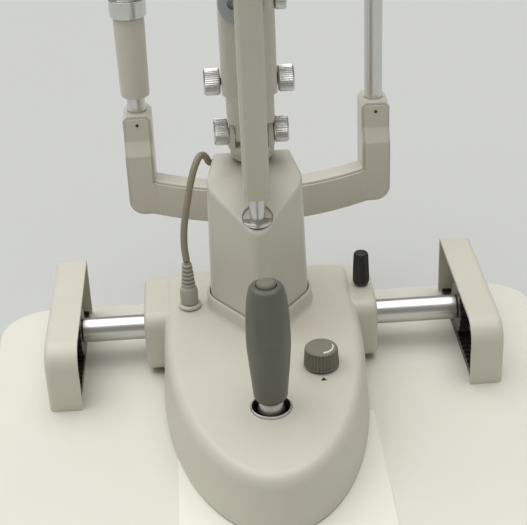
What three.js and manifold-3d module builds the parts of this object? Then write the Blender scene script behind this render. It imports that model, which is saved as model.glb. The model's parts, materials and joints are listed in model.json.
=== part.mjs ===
// Slit lamp on its own table board: a biomicroscope with a cross-slide base, joystick, lamp tower and head rest.
// Millimetres, +Z up, +Y from the operator towards the patient. The whole instrument stands on the top of the
// table board; the outer group lifts it so that z = 0 is the underside of the board.
import * as THREE from 'three';
import Module from 'manifold-3d';
import { mergeVertices } from 'three/addons/utils/BufferGeometryUtils.js';

const wasm = await Module();
wasm.setup();

// ---- driving dimensions -------------------------------------------------------------------------------------
const GAP = 0.3; // between pieces that touch
const BOARD = { width: 500, front: -300, back: 90, thickness: 25, corner: 45 };
const SLIDE_PLATE = { left: -85, right: 79, front: -275, back: -109, thickness: 1.2 };

const AXLE = { radius: 11, height: 30, halfLength: 172 };
const GEAR = { module: 2.25, teeth: 20, addendum: 0.7, dedendum: 1.3, width: 9, backlash: 0.6 };
const PITCH_RADIUS = (GEAR.module * GEAR.teeth) / 2;
const TOOTH_PITCH = Math.PI * GEAR.module;
const RACK = { teeth: 20, width: 12 };
const COVER = { inner: 166, width: 28, halfLength: 80, height: 58, wall: 3, bend: 20, rearBend: 5 };

const CARRIAGE_X = -9.2; // rest position of the cross slide, measured from the middle of the rails
const BASE = { halfWidth: 87, straightFrom: -60, noseLength: 198, rear: 42, rearCorner: 16, bottom: 3, wall: 4, columnHole: 5 };
const BASE_TOP = { height: 62.6, slope: 0.042 }; // height over the axle, and the fall towards the operator
const FLANGE = { halfWidth: 101.5, front: -36, bottom: 3.4, drop: 2.8, corner: 12 };
const JOYSTICK = { y: -170, pivotHeight: 32, gripBottom: 64, gripTop: 165, gripRadius: 17, hole: 15, bezelWall: 1.2 };
const BRIGHTNESS_KNOB = { x: 44, y: -120, radius: 14.5, height: 16, ribs: 20 };
const CLAMP_KNOB = { x: 91, radius: 7.3, height: 31, flutes: 12 };
const SOCKET = { x: -61, y: -22, radius: 10 };
const CABLE_RADIUS = 3;

const COLUMN = { bottom: 25, inset: 3, wall: 4, rearTop: 187, slope: 0.51, slopeEnd: -7, rearSlope: 0.75, rearEnd: 18 };
const COLUMN_OUTLINE = [ // circles [x, y, radius] whose common hull is the plan of the column
  [0, -60, 13.5],
  [-18, -20, 24.3],
  [18, -20, 24.3],
  [-16, 17, 20],
  [16, 17, 20],
];
const COLLAR = { clearance: 0.6, foot: 4, lip: 2.4, height: 13 };
const SWING = { y: 12, postRadius: 7, hubRadius: 20 };
const SPINDLE = { y: 26, radius: 5, footRadius: 6 };

const BAR = { y: -56, width: 21, depth: 26, bottom: 182.5, top: 372, chamfer: 3 };
const STOP_PIN_RADIUS = 6.3;
const TILT = { y: 2, z: 213.4, knobInner: 18.8, knobOuter: 31, knobRadius: 11 };
const SLIT = { y: 2, z: 258, knobInner: 23.4, knobOuter: 36.8, knobRadius: 11 };
const TOWER = { y: 2, halfWidth: 22.5, footHalfWidth: 19.5, halfDepth: 17, bottom: 225.5, step: 250, top: 350 };
const OPTICAL_HEIGHT = 430;
const SCOPE = { halfWidth: 38, front: -72, back: -152, halfHeight: 31 };
const EYETUBE = { pivot: 16, offset: 33, radius: 15.5 };

const POST = { x: 109.5, y: 130, radius: 8.25, bottom: 125, top: 492 };
const YOKE = { middleY: 104, endY: 120, thickness: 20, bottom: 88, middleBottom: 78, height: 36 };
const UPRIGHT = { width: 26, depth: 33, top: 184, footFront: 106, ledgeBottom: 147, ledgeTop: 160 };
const CHIN = { barBottom: 300, barHeight: 12, cupY: 104, cupRadius: 30 };
const FOREHEAD = { height: 476, bow: 30, bandHeight: 26 };

const sides = [-1, 1]; // left and right

const COLOURS = {
  ivory: 0xcdc6b8,
  board: 0xd6d6c6,
  white: 0xe2e2da,
  black: 0x161618,
  steel: 0xb9bcbd,
  chrome: 0xd8dadb,
  joystick: 0x6d7267,
  taupe: 0x8b857b,
  darkSteel: 0x4c4d50,
  blueGrey: 0x8e969c,
  rubber: 0x35352f,
};

// ---- geometry helpers ---------------------------------------------------------------------------------------
function solid(geometry) {
  const bare = geometry.clone();
  bare.deleteAttribute('normal');
  bare.deleteAttribute('uv');
  const merged = mergeVertices(bare, 1e-4);
  const vertProperties = new Float32Array(merged.attributes.position.array);
  const triVerts = new Uint32Array(merged.index.array);
  return new wasm.Manifold(new wasm.Mesh({ numProp: 3, vertProperties, triVerts }));
}

function toGeometry(manifold) {
  const mesh = manifold.getMesh();
  const geometry = new THREE.BufferGeometry();
  geometry.setAttribute('position', new THREE.BufferAttribute(new Float32Array(mesh.vertProperties), 3));
  geometry.setIndex(new THREE.BufferAttribute(new Uint32Array(mesh.triVerts), 1));
  return geometry;
}

function join(...geometries) {
  return toGeometry(geometries.map(solid).reduce((sum, next) => sum.add(next)));
}

function cut(geometry, ...tools) {
  return toGeometry(tools.map(solid).reduce((rest, tool) => rest.subtract(tool), solid(geometry)));
}

function common(first, second) {
  return toGeometry(solid(first).intersect(solid(second)));
}

function block(x0, x1, y0, y1, z0, z1) {
  const box = new THREE.BoxGeometry(x1 - x0, y1 - y0, z1 - z0);
  return box.translate((x0 + x1) / 2, (y0 + y1) / 2, (z0 + z1) / 2);
}

// round bar along an axis; centre holds the other two coordinates in x, y, z order
function rod(axis, radius, centre, from, to, segments = 16) {
  const bar = new THREE.CylinderGeometry(radius, radius, to - from, segments).rotateX(Math.PI / 2);
  const middle = (from + to) / 2;
  if (axis === 'x') return bar.rotateY(Math.PI / 2).translate(middle, centre[0], centre[1]);
  if (axis === 'y') return bar.rotateX(Math.PI / 2).translate(centre[0], middle, centre[1]);
  return bar.translate(centre[0], centre[1], middle);
}

// turned piece: profile holds [radius, height] pairs
function turned(profile, segments = 18) {
  const points = profile.map(([radius, height]) => new THREE.Vector2(radius, height));
  return new THREE.LatheGeometry(points, segments).rotateX(Math.PI / 2);
}

function tubeRing(outer, inner, from, to, segments = 20) {
  return turned([[inner, from], [outer, from], [outer, to], [inner, to], [inner, from]], segments);
}

// flat outline given as [a, b] pairs, extruded along an axis
function slab(outline, axis, from, to) {
  const shape = new THREE.Shape(outline.map(([a, b]) => new THREE.Vector2(a, b)));
  const body = new THREE.ExtrudeGeometry(shape, { depth: to - from, bevelEnabled: false, curveSegments: 8 });
  if (axis === 'x') return body.rotateX(Math.PI / 2).rotateZ(Math.PI / 2).translate(from, 0, 0);
  if (axis === 'y') return body.rotateX(Math.PI / 2).translate(0, to, 0);
  return body.translate(0, 0, from);
}

// round corners: arc points about a centre, from one angle to another, in degrees
function arc(centreA, centreB, radius, fromDegrees, toDegrees, steps) {
  return Array.from({ length: steps + 1 }, (_, i) => {
    const angle = THREE.MathUtils.degToRad(fromDegrees + ((toDegrees - fromDegrees) * i) / steps);
    return [centreA + radius * Math.cos(angle), centreB + radius * Math.sin(angle)];
  });
}

function roundedRectangle(a0, a1, b0, b1, radius, steps = 3) {
  return [
    ...arc(a1 - radius, b0 + radius, radius, -90, 0, steps),
    ...arc(a1 - radius, b1 - radius, radius, 0, 90, steps),
    ...arc(a0 + radius, b1 - radius, radius, 90, 180, steps),
    ...arc(a0 + radius, b0 + radius, radius, 180, 270, steps),
  ];
}

// outline of the hull around circles, sampled by direction; grow widens every circle
function hullOutline(circles, grow = 0, steps = 24) {
  return Array.from({ length: steps }, (_, i) => {
    const angle = (2 * Math.PI * i) / steps;
    const [nx, ny] = [Math.cos(angle), Math.sin(angle)];
    const reach = ([x, y, radius]) => x * nx + y * ny + radius;
    const [x, y, radius] = circles.reduce((best, next) => (reach(next) > reach(best) ? next : best));
    return [x + (radius + grow) * nx, y + (radius + grow) * ny];
  });
}

// closed body through rings of [x, y, z] points; every ring has the same number of points, anticlockwise
// about the direction in which the rings follow each other
function loft(rings) {
  const count = rings[0].length;
  const positions = rings.flat(2);
  const triangles = [];
  for (let level = 0; level < rings.length - 1; level += 1) {
    for (let i = 0; i < count; i += 1) {
      const [a, b] = [level * count + i, level * count + ((i + 1) % count)];
      triangles.push(a, b, b + count, a, b + count, a + count);
    }
  }
  const last = (rings.length - 1) * count;
  const middleOf = (ring) => [0, 1, 2].map((k) => ring.reduce((sum, point) => sum + point[k], 0) / count);
  const bottom = rings.length * count;
  positions.push(...middleOf(rings[0]), ...middleOf(rings[rings.length - 1]));
  for (let i = 0; i < count; i += 1) {
    const next = (i + 1) % count;
    triangles.push(bottom, next, i, bottom + 1, last + i, last + next);
  }
  const geometry = new THREE.BufferGeometry();
  geometry.setAttribute('position', new THREE.Float32BufferAttribute(positions, 3));
  geometry.setIndex(triangles);
  return geometry;
}

const atHeight = (outline, z) => outline.map(([x, y]) => [x, y, z]);

// outline with ribs or teeth: radius swings between two values
function ribbedOutline(outer, inner, count) {
  return Array.from({ length: count * 2 }, (_, i) => {
    const angle = (Math.PI * i) / count;
    const radius = i % 2 ? inner : outer;
    return [radius * Math.cos(angle), radius * Math.sin(angle)];
  });
}

function ribbedKnob(outer, depth, count, from, to) {
  return slab(ribbedOutline(outer, outer - depth, count), 'z', from, to);
}

function piece(name, geometry, colour, roughness = 0.55, metalness = 0) {
  const surface = new THREE.MeshStandardMaterial({ color: COLOURS[colour], roughness, metalness });
  const mesh = new THREE.Mesh(geometry, surface);
  mesh.name = name;
  return mesh;
}

// ---- table board, rails and slide plate ----------------------------------------------------------------------
function tableBoard() {
  const half = BOARD.width / 2;
  const outline = (inset) => roundedRectangle(
    inset - half, half - inset, BOARD.front + inset, BOARD.back - inset, BOARD.corner - inset, 6);
  const edge = 2.5;
  const board = loft([
    atHeight(outline(edge), -BOARD.thickness),
    atHeight(outline(0), edge - BOARD.thickness),
    atHeight(outline(0), -edge),
    atHeight(outline(edge), 0),
  ]);
  return piece('table_board', board, 'board', 0.6);
}

function slidePlate() {
  const { left, right, front, back, thickness } = SLIDE_PLATE;
  const plate = slab(roundedRectangle(left, right, front, back, 3, 2), 'z', GAP, GAP + thickness);
  return piece('slide_plate', plate, 'white', 0.35);
}

function rack(side) {
  const rootZ = AXLE.height - PITCH_RADIUS - GEAR.dedendum;
  const tipZ = AXLE.height - PITCH_RADIUS + GEAR.addendum;
  const start = -(RACK.teeth / 2) * TOOTH_PITCH;
  const outline = [[-start, 0.6 + GAP], [-start, rootZ]];
  for (let tooth = RACK.teeth - 1; tooth >= 0; tooth -= 1) {
    const centre = start + (tooth + 0.5) * TOOTH_PITCH;
    const rootHalf = TOOTH_PITCH / 4 + 0.35 - GEAR.backlash / 2;
    const tipHalf = TOOTH_PITCH / 4 - 0.25 - GEAR.backlash / 2;
    outline.push([centre + rootHalf, rootZ], [centre + tipHalf, tipZ], [centre - tipHalf, tipZ],
      [centre - rootHalf, rootZ]);
  }
  outline.push([start, rootZ], [start, 0.6 + GAP]);
  const centreX = side * (COVER.inner + 8);
  const strip = slab(outline.reverse(), 'x', centreX - RACK.width / 2, centreX + RACK.width / 2);
  return piece(side < 0 ? 'rack_left' : 'rack_right', strip, 'black', 0.5);
}

// hood over one rail, open towards the middle and at the bottom
function railCover(side) {
  const { halfLength, height, wall, bend, rearBend, width, inner } = COVER;
  const profile = (inset, floor) => [
    [-halfLength + inset, floor],
    [halfLength - inset, floor],
    ...arc(halfLength - rearBend, height - rearBend, rearBend - Math.min(inset, rearBend - 1), 0, 90, 3),
    ...arc(-halfLength + bend, height - bend, bend - inset, 90, 180, 6),
  ];
  const roundOff = 4;
  const ring = (x, inset) => profile(inset, GAP).map(([y, z]) => [x, y, z]);
  const shellRings = [ring(inner, 0), ring(inner + width - roundOff, 0), ring(inner + width - 1, 1.4),
    ring(inner + width, roundOff)];
  const shell = loft(shellRings);
  const hollow = slab(profile(wall, -5), 'x', inner - 5, inner + width - wall);
  const hood = cut(shell, hollow);
  if (side < 0) hood.rotateZ(Math.PI).scale(1, -1, 1);
  const mirrored = side < 0 ? flip(hood) : hood;
  return piece(side < 0 ? 'rail_cover_left' : 'rail_cover_right', mirrored, 'ivory');
}

// turns every triangle over, after a mirror scale
function flip(geometry) {
  const { array } = geometry.index;
  for (let i = 0; i < array.length; i += 3) [array[i], array[i + 1]] = [array[i + 1], array[i]];
  return geometry;
}

// ---- head rest ----------------------------------------------------------------------------------------------
const PANEL_THICKNESS = 1.6;
const PEDESTAL_BACK = 116;

const LOW_CORNER = 8;

function yokeBottomAt(x) {
  return YOKE.middleBottom + (YOKE.bottom - YOKE.middleBottom) * (x / POST.x) ** 2;
}

function yokeSection(x, front, back, bottomLift, topDrop) {
  const y = YOKE.middleY + (YOKE.endY - YOKE.middleY) * (x / POST.x) ** 2;
  const bottom = yokeBottomAt(x);
  return [
    [x, y - front, bottom + bottomLift],
    [x, y + back, bottom + bottomLift],
    [x, y + back, bottom + YOKE.height - topDrop],
    [x, y - front, bottom + YOKE.height - topDrop],
  ];
}

function yokeSweep(from, to, steps, front, back, bottomLift = 0, topDrop = 0) {
  const stations = Array.from({ length: steps + 1 }, (_, i) => from + ((to - from) * i) / steps);
  return loft(stations.map((x) => yokeSection(x, front, back, bottomLift, topDrop)));
}

function restPedestal() {
  const top = YOKE.middleBottom - GAP;
  const wide = slab(roundedRectangle(-38, 38, BOARD.back + GAP, PEDESTAL_BACK, 5), 'z', -BOARD.thickness, 8);
  const neck = slab(roundedRectangle(-26, 26, BOARD.back + GAP + 2, PEDESTAL_BACK - 1, 6), 'z', 7, top);
  return piece('rest_pedestal', join(wide, neck), 'ivory');
}

// front of an upright seen from the side, moved forwards by a distance: a foot, a sloping ledge, a set-back top
function uprightDepth(forward) {
  const back = POST.y + UPRIGHT.depth / 2;
  const front = POST.y - UPRIGHT.depth / 2 - forward;
  const foot = UPRIGHT.footFront - forward;
  const up = forward / 3;
  return slab([[foot, 60], [back, 60], [back, 200], [front, 200], [front, UPRIGHT.ledgeTop + up],
    [foot, UPRIGHT.ledgeBottom + up]], 'x', -POST.x - UPRIGHT.width, POST.x + UPRIGHT.width);
}

function restYoke() {
  const half = YOKE.thickness / 2;
  const arms = yokeSweep(-POST.x, POST.x, 12, half, half);
  const uprights = sides.map((side) => {
    const [x0, x1] = [side * POST.x - UPRIGHT.width / 2, side * POST.x + UPRIGHT.width / 2];
    const [innerX, outerX] = [side * (POST.x - UPRIGHT.width / 2), side * (POST.x + UPRIGHT.width / 2)];
    const foot = [[innerX, yokeBottomAt(innerX)], [outerX - side * LOW_CORNER, yokeBottomAt(outerX - side * LOW_CORNER)],
      [outerX - side * LOW_CORNER * 0.3, yokeBottomAt(outerX) + LOW_CORNER * 0.3], [outerX, yokeBottomAt(outerX) + LOW_CORNER]];
    const outline = [
      [x0 + 4, UPRIGHT.top],
      [x0, UPRIGHT.top - 4],
      ...(side < 0 ? foot.reverse() : foot),
      [x1, UPRIGHT.top - 4],
      [x1 - 4, UPRIGHT.top],
    ];
    return common(slab(outline, 'y', UPRIGHT.footFront - 5, POST.y + UPRIGHT.depth), uprightDepth(0));
  });
  const bores = sides.map((side) => rod('z', POST.radius + GAP, [side * POST.x, POST.y],
    POST.bottom - GAP, UPRIGHT.top + 5));
  return piece('rest_yoke', cut(join(arms, ...uprights), ...bores), 'ivory');
}

// thin cover that runs along the front of one arm and up its upright, over the ledge
function yokePanel(side) {
  const half = YOKE.thickness / 2;
  const armEnd = POST.x - UPRIGHT.width / 2;
  const margin = 3;
  const [near, far] = [side * 20, side * (armEnd - 0.1)];
  const arm = yokeSweep(Math.min(near, far), Math.max(near, far), 7, half + PANEL_THICKNESS + GAP, -half - GAP,
    margin, margin);
  const span = (from) => [side * from, side * (armEnd + UPRIGHT.width - margin)].sort((a, b) => a - b);
  const upper = roundedRectangle(...span(armEnd + margin), YOKE.bottom + 6, UPRIGHT.top - 5, 3, 2);
  const lower = roundedRectangle(...span(armEnd - 1), YOKE.bottom + margin, YOKE.bottom + YOKE.height - 5, 5, 3);
  const face = join(slab(upper, 'y', 90, POST.y), slab(lower, 'y', 90, POST.y));
  const layer = cut(uprightDepth(GAP + PANEL_THICKNESS), uprightDepth(GAP));
  return piece(side < 0 ? 'yoke_panel_left' : 'yoke_panel_right', join(arm, common(face, layer)), 'ivory');
}

function post(side) {
  const tube = rod('z', POST.radius, [side * POST.x, POST.y], POST.bottom, POST.top, 20);
  return piece(side < 0 ? 'post_left' : 'post_right', tube, 'chrome', 0.15, 1);
}

function chinSleeve() {
  const bore = POST.radius + GAP;
  const sleeve = turned([[bore, 199], [12.8, 199], [13.2, 203], [14, 262], [14, 274], [bore, 274], [bore, 199]]);
  return piece('chin_sleeve', sleeve.translate(-POST.x, POST.y, 0), 'ivory');
}

function heightRing() {
  const grip = ribbedKnob(16.5, 0.9, 20, 275, 291);
  const bore = rod('z', POST.radius + GAP, [0, 0], 270, 299);
  const hub = rod('z', 12, [0, 0], 290, 297);
  return piece('height_ring', cut(join(grip, hub), bore).translate(-POST.x, POST.y, 0), 'steel', 0.25, 1);
}

function chinBar() {
  const { barBottom, barHeight, cupY } = CHIN;
  const collars = sides.map((side) => rod('z', 15, [side * POST.x, POST.y], barBottom, barBottom + 22));
  const bar = block(-POST.x, POST.x, POST.y - 6, POST.y + 6, barBottom, barBottom + barHeight);
  const tongue = block(-14, 14, cupY, POST.y, barBottom, barBottom + 8);
  const bores = sides.map((side) => rod('z', POST.radius + GAP, [side * POST.x, POST.y],
    barBottom - 5, barBottom + 40));
  return piece('chin_bar', cut(join(bar, tongue, ...collars), ...bores), 'ivory');
}

function chinCup() {
  const z = CHIN.barBottom + 8 + GAP;
  const radius = CHIN.cupRadius;
  const bowl = turned([[0, 0], [radius * 0.45, 0], [radius, 12], [radius, 17], [radius - 3, 17],
    [radius * 0.5, 6], [0, 5]], 20);
  return piece('chin_cup', bowl.scale(1.15, 0.85, 1).translate(0, CHIN.cupY, z), 'white', 0.4);
}

// arch over the two posts that carries the forehead band
function foreheadFrame() {
  const { height, bow } = FOREHEAD;
  const caps = sides.map((side) => rod('z', 13, [side * POST.x, POST.y], height - 32, height + 22, 20));
  const stations = Array.from({ length: 11 }, (_, i) => -POST.x + (2 * POST.x * i) / 10);
  const arch = loft(stations.map((x) => {
    const lift = 1 - (x / POST.x) ** 2;
    const y = POST.y - 4 + 0.3 * bow * lift;
    const z = height + 4 + 12 * lift;
    return [[x, y - 6, z - 9], [x, y + 6, z - 9], [x, y + 6, z + 9], [x, y - 6, z + 9]];
  }));
  const bores = sides.map((side) => rod('z', POST.radius + GAP, [side * POST.x, POST.y],
    height - 50, POST.top + GAP));
  return piece('forehead_frame', cut(join(arch, ...caps), ...bores), 'ivory');
}

// strap that the forehead leans on, bowed towards the operator between the frame's ends
function foreheadBand() {
  const { height, bow, bandHeight } = FOREHEAD;
  const end = POST.x - 13.5;
  const stations = Array.from({ length: 11 }, (_, i) => -end + (2 * end * i) / 10);
  const [bottom, top] = [height - 30, height - 30 + bandHeight];
  const band = loft(stations.map((x) => {
    const y = POST.y - bow * (1 - (x / end) ** 2);
    return [[x, y - 1.5, bottom], [x, y + 1.5, bottom], [x, y + 1.5, top], [x, y - 1.5, top]];
  }));
  return piece('forehead_band', band, 'rubber', 0.7);
}

const FIXATION = { x: 109.5, y: 148, z: 498.3 };

function fixationArm() {
  const { x, y, z } = FIXATION;
  const hub = rod('z', 7, [x, y - 18], z, z + 12);
  const path = new THREE.CatmullRomCurve3([
    new THREE.Vector3(x, y - 20, z + 7),
    new THREE.Vector3(x - 2, y - 50, z + 14),
    new THREE.Vector3(x - 20, y - 76, z + 4),
    new THREE.Vector3(x - 42, y - 86, z - 14),
  ]);
  const stem = new THREE.ExtrudeGeometry(circleShape(2.5, 8), { steps: 12, bevelEnabled: false, extrudePath: path });
  return piece('fixation_arm', join(hub, stem), 'darkSteel', 0.35, 1);
}

function circleShape(radius, sides) {
  return new THREE.Shape(ribbedOutline(radius, radius, sides / 2).map(([a, b]) => new THREE.Vector2(a, b)));
}

function fixationLamp() {
  const { x, y, z } = FIXATION;
  const lamp = turned([[0, -9], [5, -9], [6, -4], [6, 6], [4, 9], [0, 9]], 12).rotateX(Math.PI / 2);
  const neck = rod('x', 2, [0, 0], 3, 12.5, 10);
  return piece('fixation_lamp', join(lamp, neck).translate(x - 57, y - 88, z - 17), 'black', 0.4);
}

// ---- cross slide ---------------------------------------------------------------------------------------------
function gearOutline() {
  const { teeth, addendum, dedendum, backlash } = GEAR;
  const [tip, root] = [PITCH_RADIUS + addendum, PITCH_RADIUS - dedendum];
  const step = (2 * Math.PI) / teeth;
  const points = [];
  for (let tooth = 0; tooth < teeth; tooth += 1) {
    // a tooth points straight down, into the gap in the middle of the rack
    const centre = tooth * step - Math.PI / 2;
    const rootHalf = (TOOTH_PITCH / 4 + 0.35 - backlash / 2) / PITCH_RADIUS;
    const tipHalf = (TOOTH_PITCH / 4 - 0.35 - backlash / 2) / PITCH_RADIUS;
    for (const [radius, angle] of [[root, centre - rootHalf], [tip, centre - tipHalf],
      [tip, centre + tipHalf], [root, centre + rootHalf]]) {
      points.push([radius * Math.cos(angle), AXLE.height + radius * Math.sin(angle)]);
    }
  }
  return points;
}

function wheel(side) {
  const centreX = side * (COVER.inner + 6);
  const disc = slab(gearOutline(), 'x', centreX - GEAR.width / 2, centreX + GEAR.width / 2);
  const bore = rod('x', AXLE.radius * 0.7 + GAP, [0, AXLE.height], centreX - 20, centreX + 20, 16);
  return piece(side < 0 ? 'wheel_left' : 'wheel_right', cut(disc, bore), 'black', 0.5);
}

// polished bar with a thinner journal at each end
function axleShaft() {
  const shoulder = COVER.inner + 6 - GEAR.width / 2 - GAP;
  const end = COVER.inner + 18;
  const thin = AXLE.radius * 0.7;
  const shaft = turned([[0, -end], [thin, -end], [thin, -shoulder], [AXLE.radius, -shoulder],
    [AXLE.radius, shoulder], [thin, shoulder], [thin, end], [0, end]], 24);
  return piece('axle_shaft', shaft.rotateY(Math.PI / 2).translate(0, 0, AXLE.height), 'chrome', 0.12, 1);
}

// sliding block on one end of the axle, inside the cover
function guideBush(side) {
  const [x0, x1] = [COVER.inner + 11, COVER.inner + 19];
  const body = block(x0, x1, -13, 13, AXLE.height - 11, AXLE.height + 13);
  const hole = rod('x', AXLE.radius * 0.7 + GAP, [0, AXLE.height], x0 - 5, COVER.inner + 18 + GAP, 20);
  const bush = cut(body, hole);
  if (side < 0) bush.rotateZ(Math.PI);
  return piece(side < 0 ? 'guide_bush_left' : 'guide_bush_right', bush, 'white', 0.5);
}

// ---- base ----------------------------------------------------------------------------------------------------
const baseTopAt = (y) => BASE_TOP.height + BASE_TOP.slope * y;

// plan of the housing: straight sides at the rear, half an ellipse towards the operator
function baseOutline(inset) {
  const { halfWidth, straightFrom, noseLength, rear, rearCorner } = BASE;
  const side = halfWidth - inset;
  const corner = rearCorner - inset / 2;
  const nose = Array.from({ length: 19 }, (_, i) => {
    const angle = Math.PI + (Math.PI * i) / 18;
    return [side * Math.cos(angle), straightFrom + (noseLength - inset) * Math.sin(angle)];
  });
  return [
    ...nose,
    ...arc(side - corner, rear - inset - corner, corner, 0, 90, 3),
    ...arc(corner - side, rear - inset - corner, corner, 90, 180, 3),
  ];
}

function baseBody(inset, bottom) {
  const ring = (extra, drop) => baseOutline(inset + extra).map(([x, y]) => [x, y, baseTopAt(y) - inset - drop]);
  return loft([atHeight(baseOutline(inset), bottom), ring(3, 13), ring(4.5, 6), ring(8, 2), ring(13, 0)]);
}

function flangeBlock() {
  const { halfWidth, front, bottom, drop, corner } = FLANGE;
  const ring = (x, inset) => roundedRectangle(front + inset, BASE.rear - inset, bottom + inset,
    BASE_TOP.height - drop - inset, corner - inset, 3).map(([y, z]) => [x, y, z]);
  return loft([ring(-halfWidth, 3), ring(3 - halfWidth, 0), ring(halfWidth - 3, 0), ring(halfWidth, 3)]);
}

function baseHousing() {
  const hollow = baseBody(BASE.wall, BASE.bottom - 10);
  const shell = cut(baseBody(0, BASE.bottom), hollow);
  const sleeves = sides.map((side) => block(Math.min(side * 60, side * 84), Math.max(side * 60, side * 84),
    -20, 20, AXLE.height - 16, 58));
  const flangeInside = [[82, -10, 40], [76, 30, 80]]
    .map(([half, low, high]) => block(-half, half, FLANGE.front - 20, BASE.rear + 20, low, high));
  const flanges = cut(flangeBlock(), ...flangeInside);
  const columnHole = loft([
    atHeight(hullOutline(COLUMN_OUTLINE, COLLAR.clearance), BASE.columnHole),
    atHeight(hullOutline(COLUMN_OUTLINE, COLLAR.clearance), 90),
  ]);
  const bores = [
    rod('x', AXLE.radius + 4, [0, AXLE.height], -130, 130, 20),
    rod('z', JOYSTICK.hole + JOYSTICK.bezelWall + GAP, [0, JOYSTICK.y], 20, 90, 24),
    rod('z', 3.6, [BRIGHTNESS_KNOB.x, BRIGHTNESS_KNOB.y], 30, 90, 10),
    rod('z', 3.6, [CLAMP_KNOB.x, 0], AXLE.height, 90, 10),
    rod('z', 5.5, [SOCKET.x, SOCKET.y], 30, 90, 10),
  ];
  return piece('base_housing', cut(join(shell, flanges, ...sleeves), columnHole, ...bores), 'ivory');
}

// bottom plate inside the rim of the housing, with the seats of the joystick gimbal
function basePlate() {
  const inset = BASE.wall + 1.4;
  const plate = loft([atHeight(baseOutline(inset), BASE.bottom), atHeight(baseOutline(inset), BASE.bottom + 4)]);
  const seats = sides.map((side) => block(Math.min(side * 24, side * 32), Math.max(side * 24, side * 32),
    JOYSTICK.y - 8, JOYSTICK.y + 8, BASE.bottom + 3, JOYSTICK.pivotHeight + 6));
  const pinHole = rod('x', 2.8, [JOYSTICK.y, JOYSTICK.pivotHeight], -40, 40, 16);
  const footHole = rod('z', 16, [0, JOYSTICK.y], -5, 20, 16);
  return piece('base_plate', cut(join(plate, ...seats), pinHole, footHole), 'black', 0.6);
}

function axleBush(side) {
  const ring = tubeRing(AXLE.radius + 3.6, AXLE.radius + GAP, 0, 36, 20).rotateY(Math.PI / 2);
  const name = side < 0 ? 'axle_bush_left' : 'axle_bush_right';
  return piece(name, ring.translate(side < 0 ? -101 : 65, 0, AXLE.height), 'darkSteel', 0.4, 1);
}

// raised lip around the foot of the column
function columnCollar() {
  const { clearance, foot, lip, height } = COLLAR;
  const ring = (grow, lift) => hullOutline(COLUMN_OUTLINE, grow)
    .map(([x, y]) => [x, y, baseTopAt(y) + GAP + lift]);
  const outer = loft([ring(clearance + foot, 0), ring(clearance + lip + 0.6, 1.8), ring(clearance + lip, 4.5),
    ring(clearance + lip - 0.3, height - 1.2), ring(clearance + 1.2, height)]);
  const inner = loft([atHeight(hullOutline(COLUMN_OUTLINE, clearance), 40),
    atHeight(hullOutline(COLUMN_OUTLINE, clearance), 100)]);
  return piece('column_collar', cut(outer, inner), 'ivory');
}

function cableSocket() {
  const { x, y, radius } = SOCKET;
  const top = baseTopAt(y) + GAP;
  const flange = turned([[0, 0.4], [radius, 0.4], [radius, 2.4], [radius - 1.5, 3.4], [0, 3.4]], 28);
  const barrel = rod('z', 5, [0, 0], -16, 1, 20);
  return piece('cable_socket', join(flange, barrel).translate(x, y, top), 'steel', 0.3, 1);
}

// connector on the lamp cable, with its ribbed strain relief
function cablePlug() {
  const bottom = baseTopAt(SOCKET.y) + 4.2;
  const profile = [[0, 0], [7.4, 0], [7.8, 2], [7.8, 15], [6.6, 19]];
  for (let rib = 0; rib < 3; rib += 1) {
    const z = 20 + rib * 6.5;
    const radius = 6.2 - rib * 0.35;
    profile.push([radius, z], [radius, z + 4], [radius - 1.2, z + 4.6], [radius - 1.2, z + 6]);
  }
  profile.push([0, 40]);
  return piece('cable_plug', turned(profile, 12).translate(SOCKET.x, SOCKET.y, bottom), 'blueGrey', 0.5);
}

const CABLE_ROUTE = [ // from the strain relief up and over into the rear corner of the column, carriage coordinates
  [-61, -22, 107],
  [-62, -20.5, 120],
  [-61, -17, 136],
  [-57.5, -12, 154],
  [-53.5, -5, 170],
  [-49, 3, 182],
  [-44.5, 10.5, 188],
  [-41, 16.5, 186.5],
  [-38.5, 21, 181.5],
  [-36.5, 23.6, 176.5],
  [-31, 24, 174.5],
];

function lampCable() {
  const path = new THREE.CatmullRomCurve3(CABLE_ROUTE.map(([x, y, z]) => new THREE.Vector3(x, y, z)));
  const section = circleShape(CABLE_RADIUS, 8);
  const tube = new THREE.ExtrudeGeometry(section, { steps: 20, bevelEnabled: false, extrudePath: path });
  return piece('lamp_cable', tube, 'taupe', 0.6);
}

function joystickBezel() {
  const top = baseTopAt(JOYSTICK.y);
  const ring = tubeRing(JOYSTICK.hole + JOYSTICK.bezelWall, JOYSTICK.hole, top - 6, top + 1.6, 24);
  return piece('joystick_bezel', ring.translate(0, JOYSTICK.y, 0), 'chrome', 0.2, 1);
}

function dimmerBody() {
  const { x, y } = BRIGHTNESS_KNOB;
  const body = cut(block(x - 12, x + 12, y - 12, y + 12, 34, 50), rod('z', 3.3, [x, y], 38, 60, 16));
  return piece('dimmer_body', body, 'darkSteel', 0.5);
}

function brightnessKnob() {
  const { x, y, radius, height, ribs } = BRIGHTNESS_KNOB;
  const bottom = baseTopAt(y) + 1.6;
  const grip = ribbedKnob(radius, 0.9, ribs, bottom, bottom + height - 1.6);
  const crown = turned([[0, 0], [radius - 1.1, 0], [radius - 2.6, 1.6], [0, 1.6]], 20)
    .translate(0, 0, bottom + height - 1.62);
  const shaft = rod('z', 3, [0, 0], 40, bottom + 2, 16);
  return piece('brightness_knob', join(grip, crown, shaft).translate(x, y, 0), 'taupe', 0.55);
}

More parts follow.
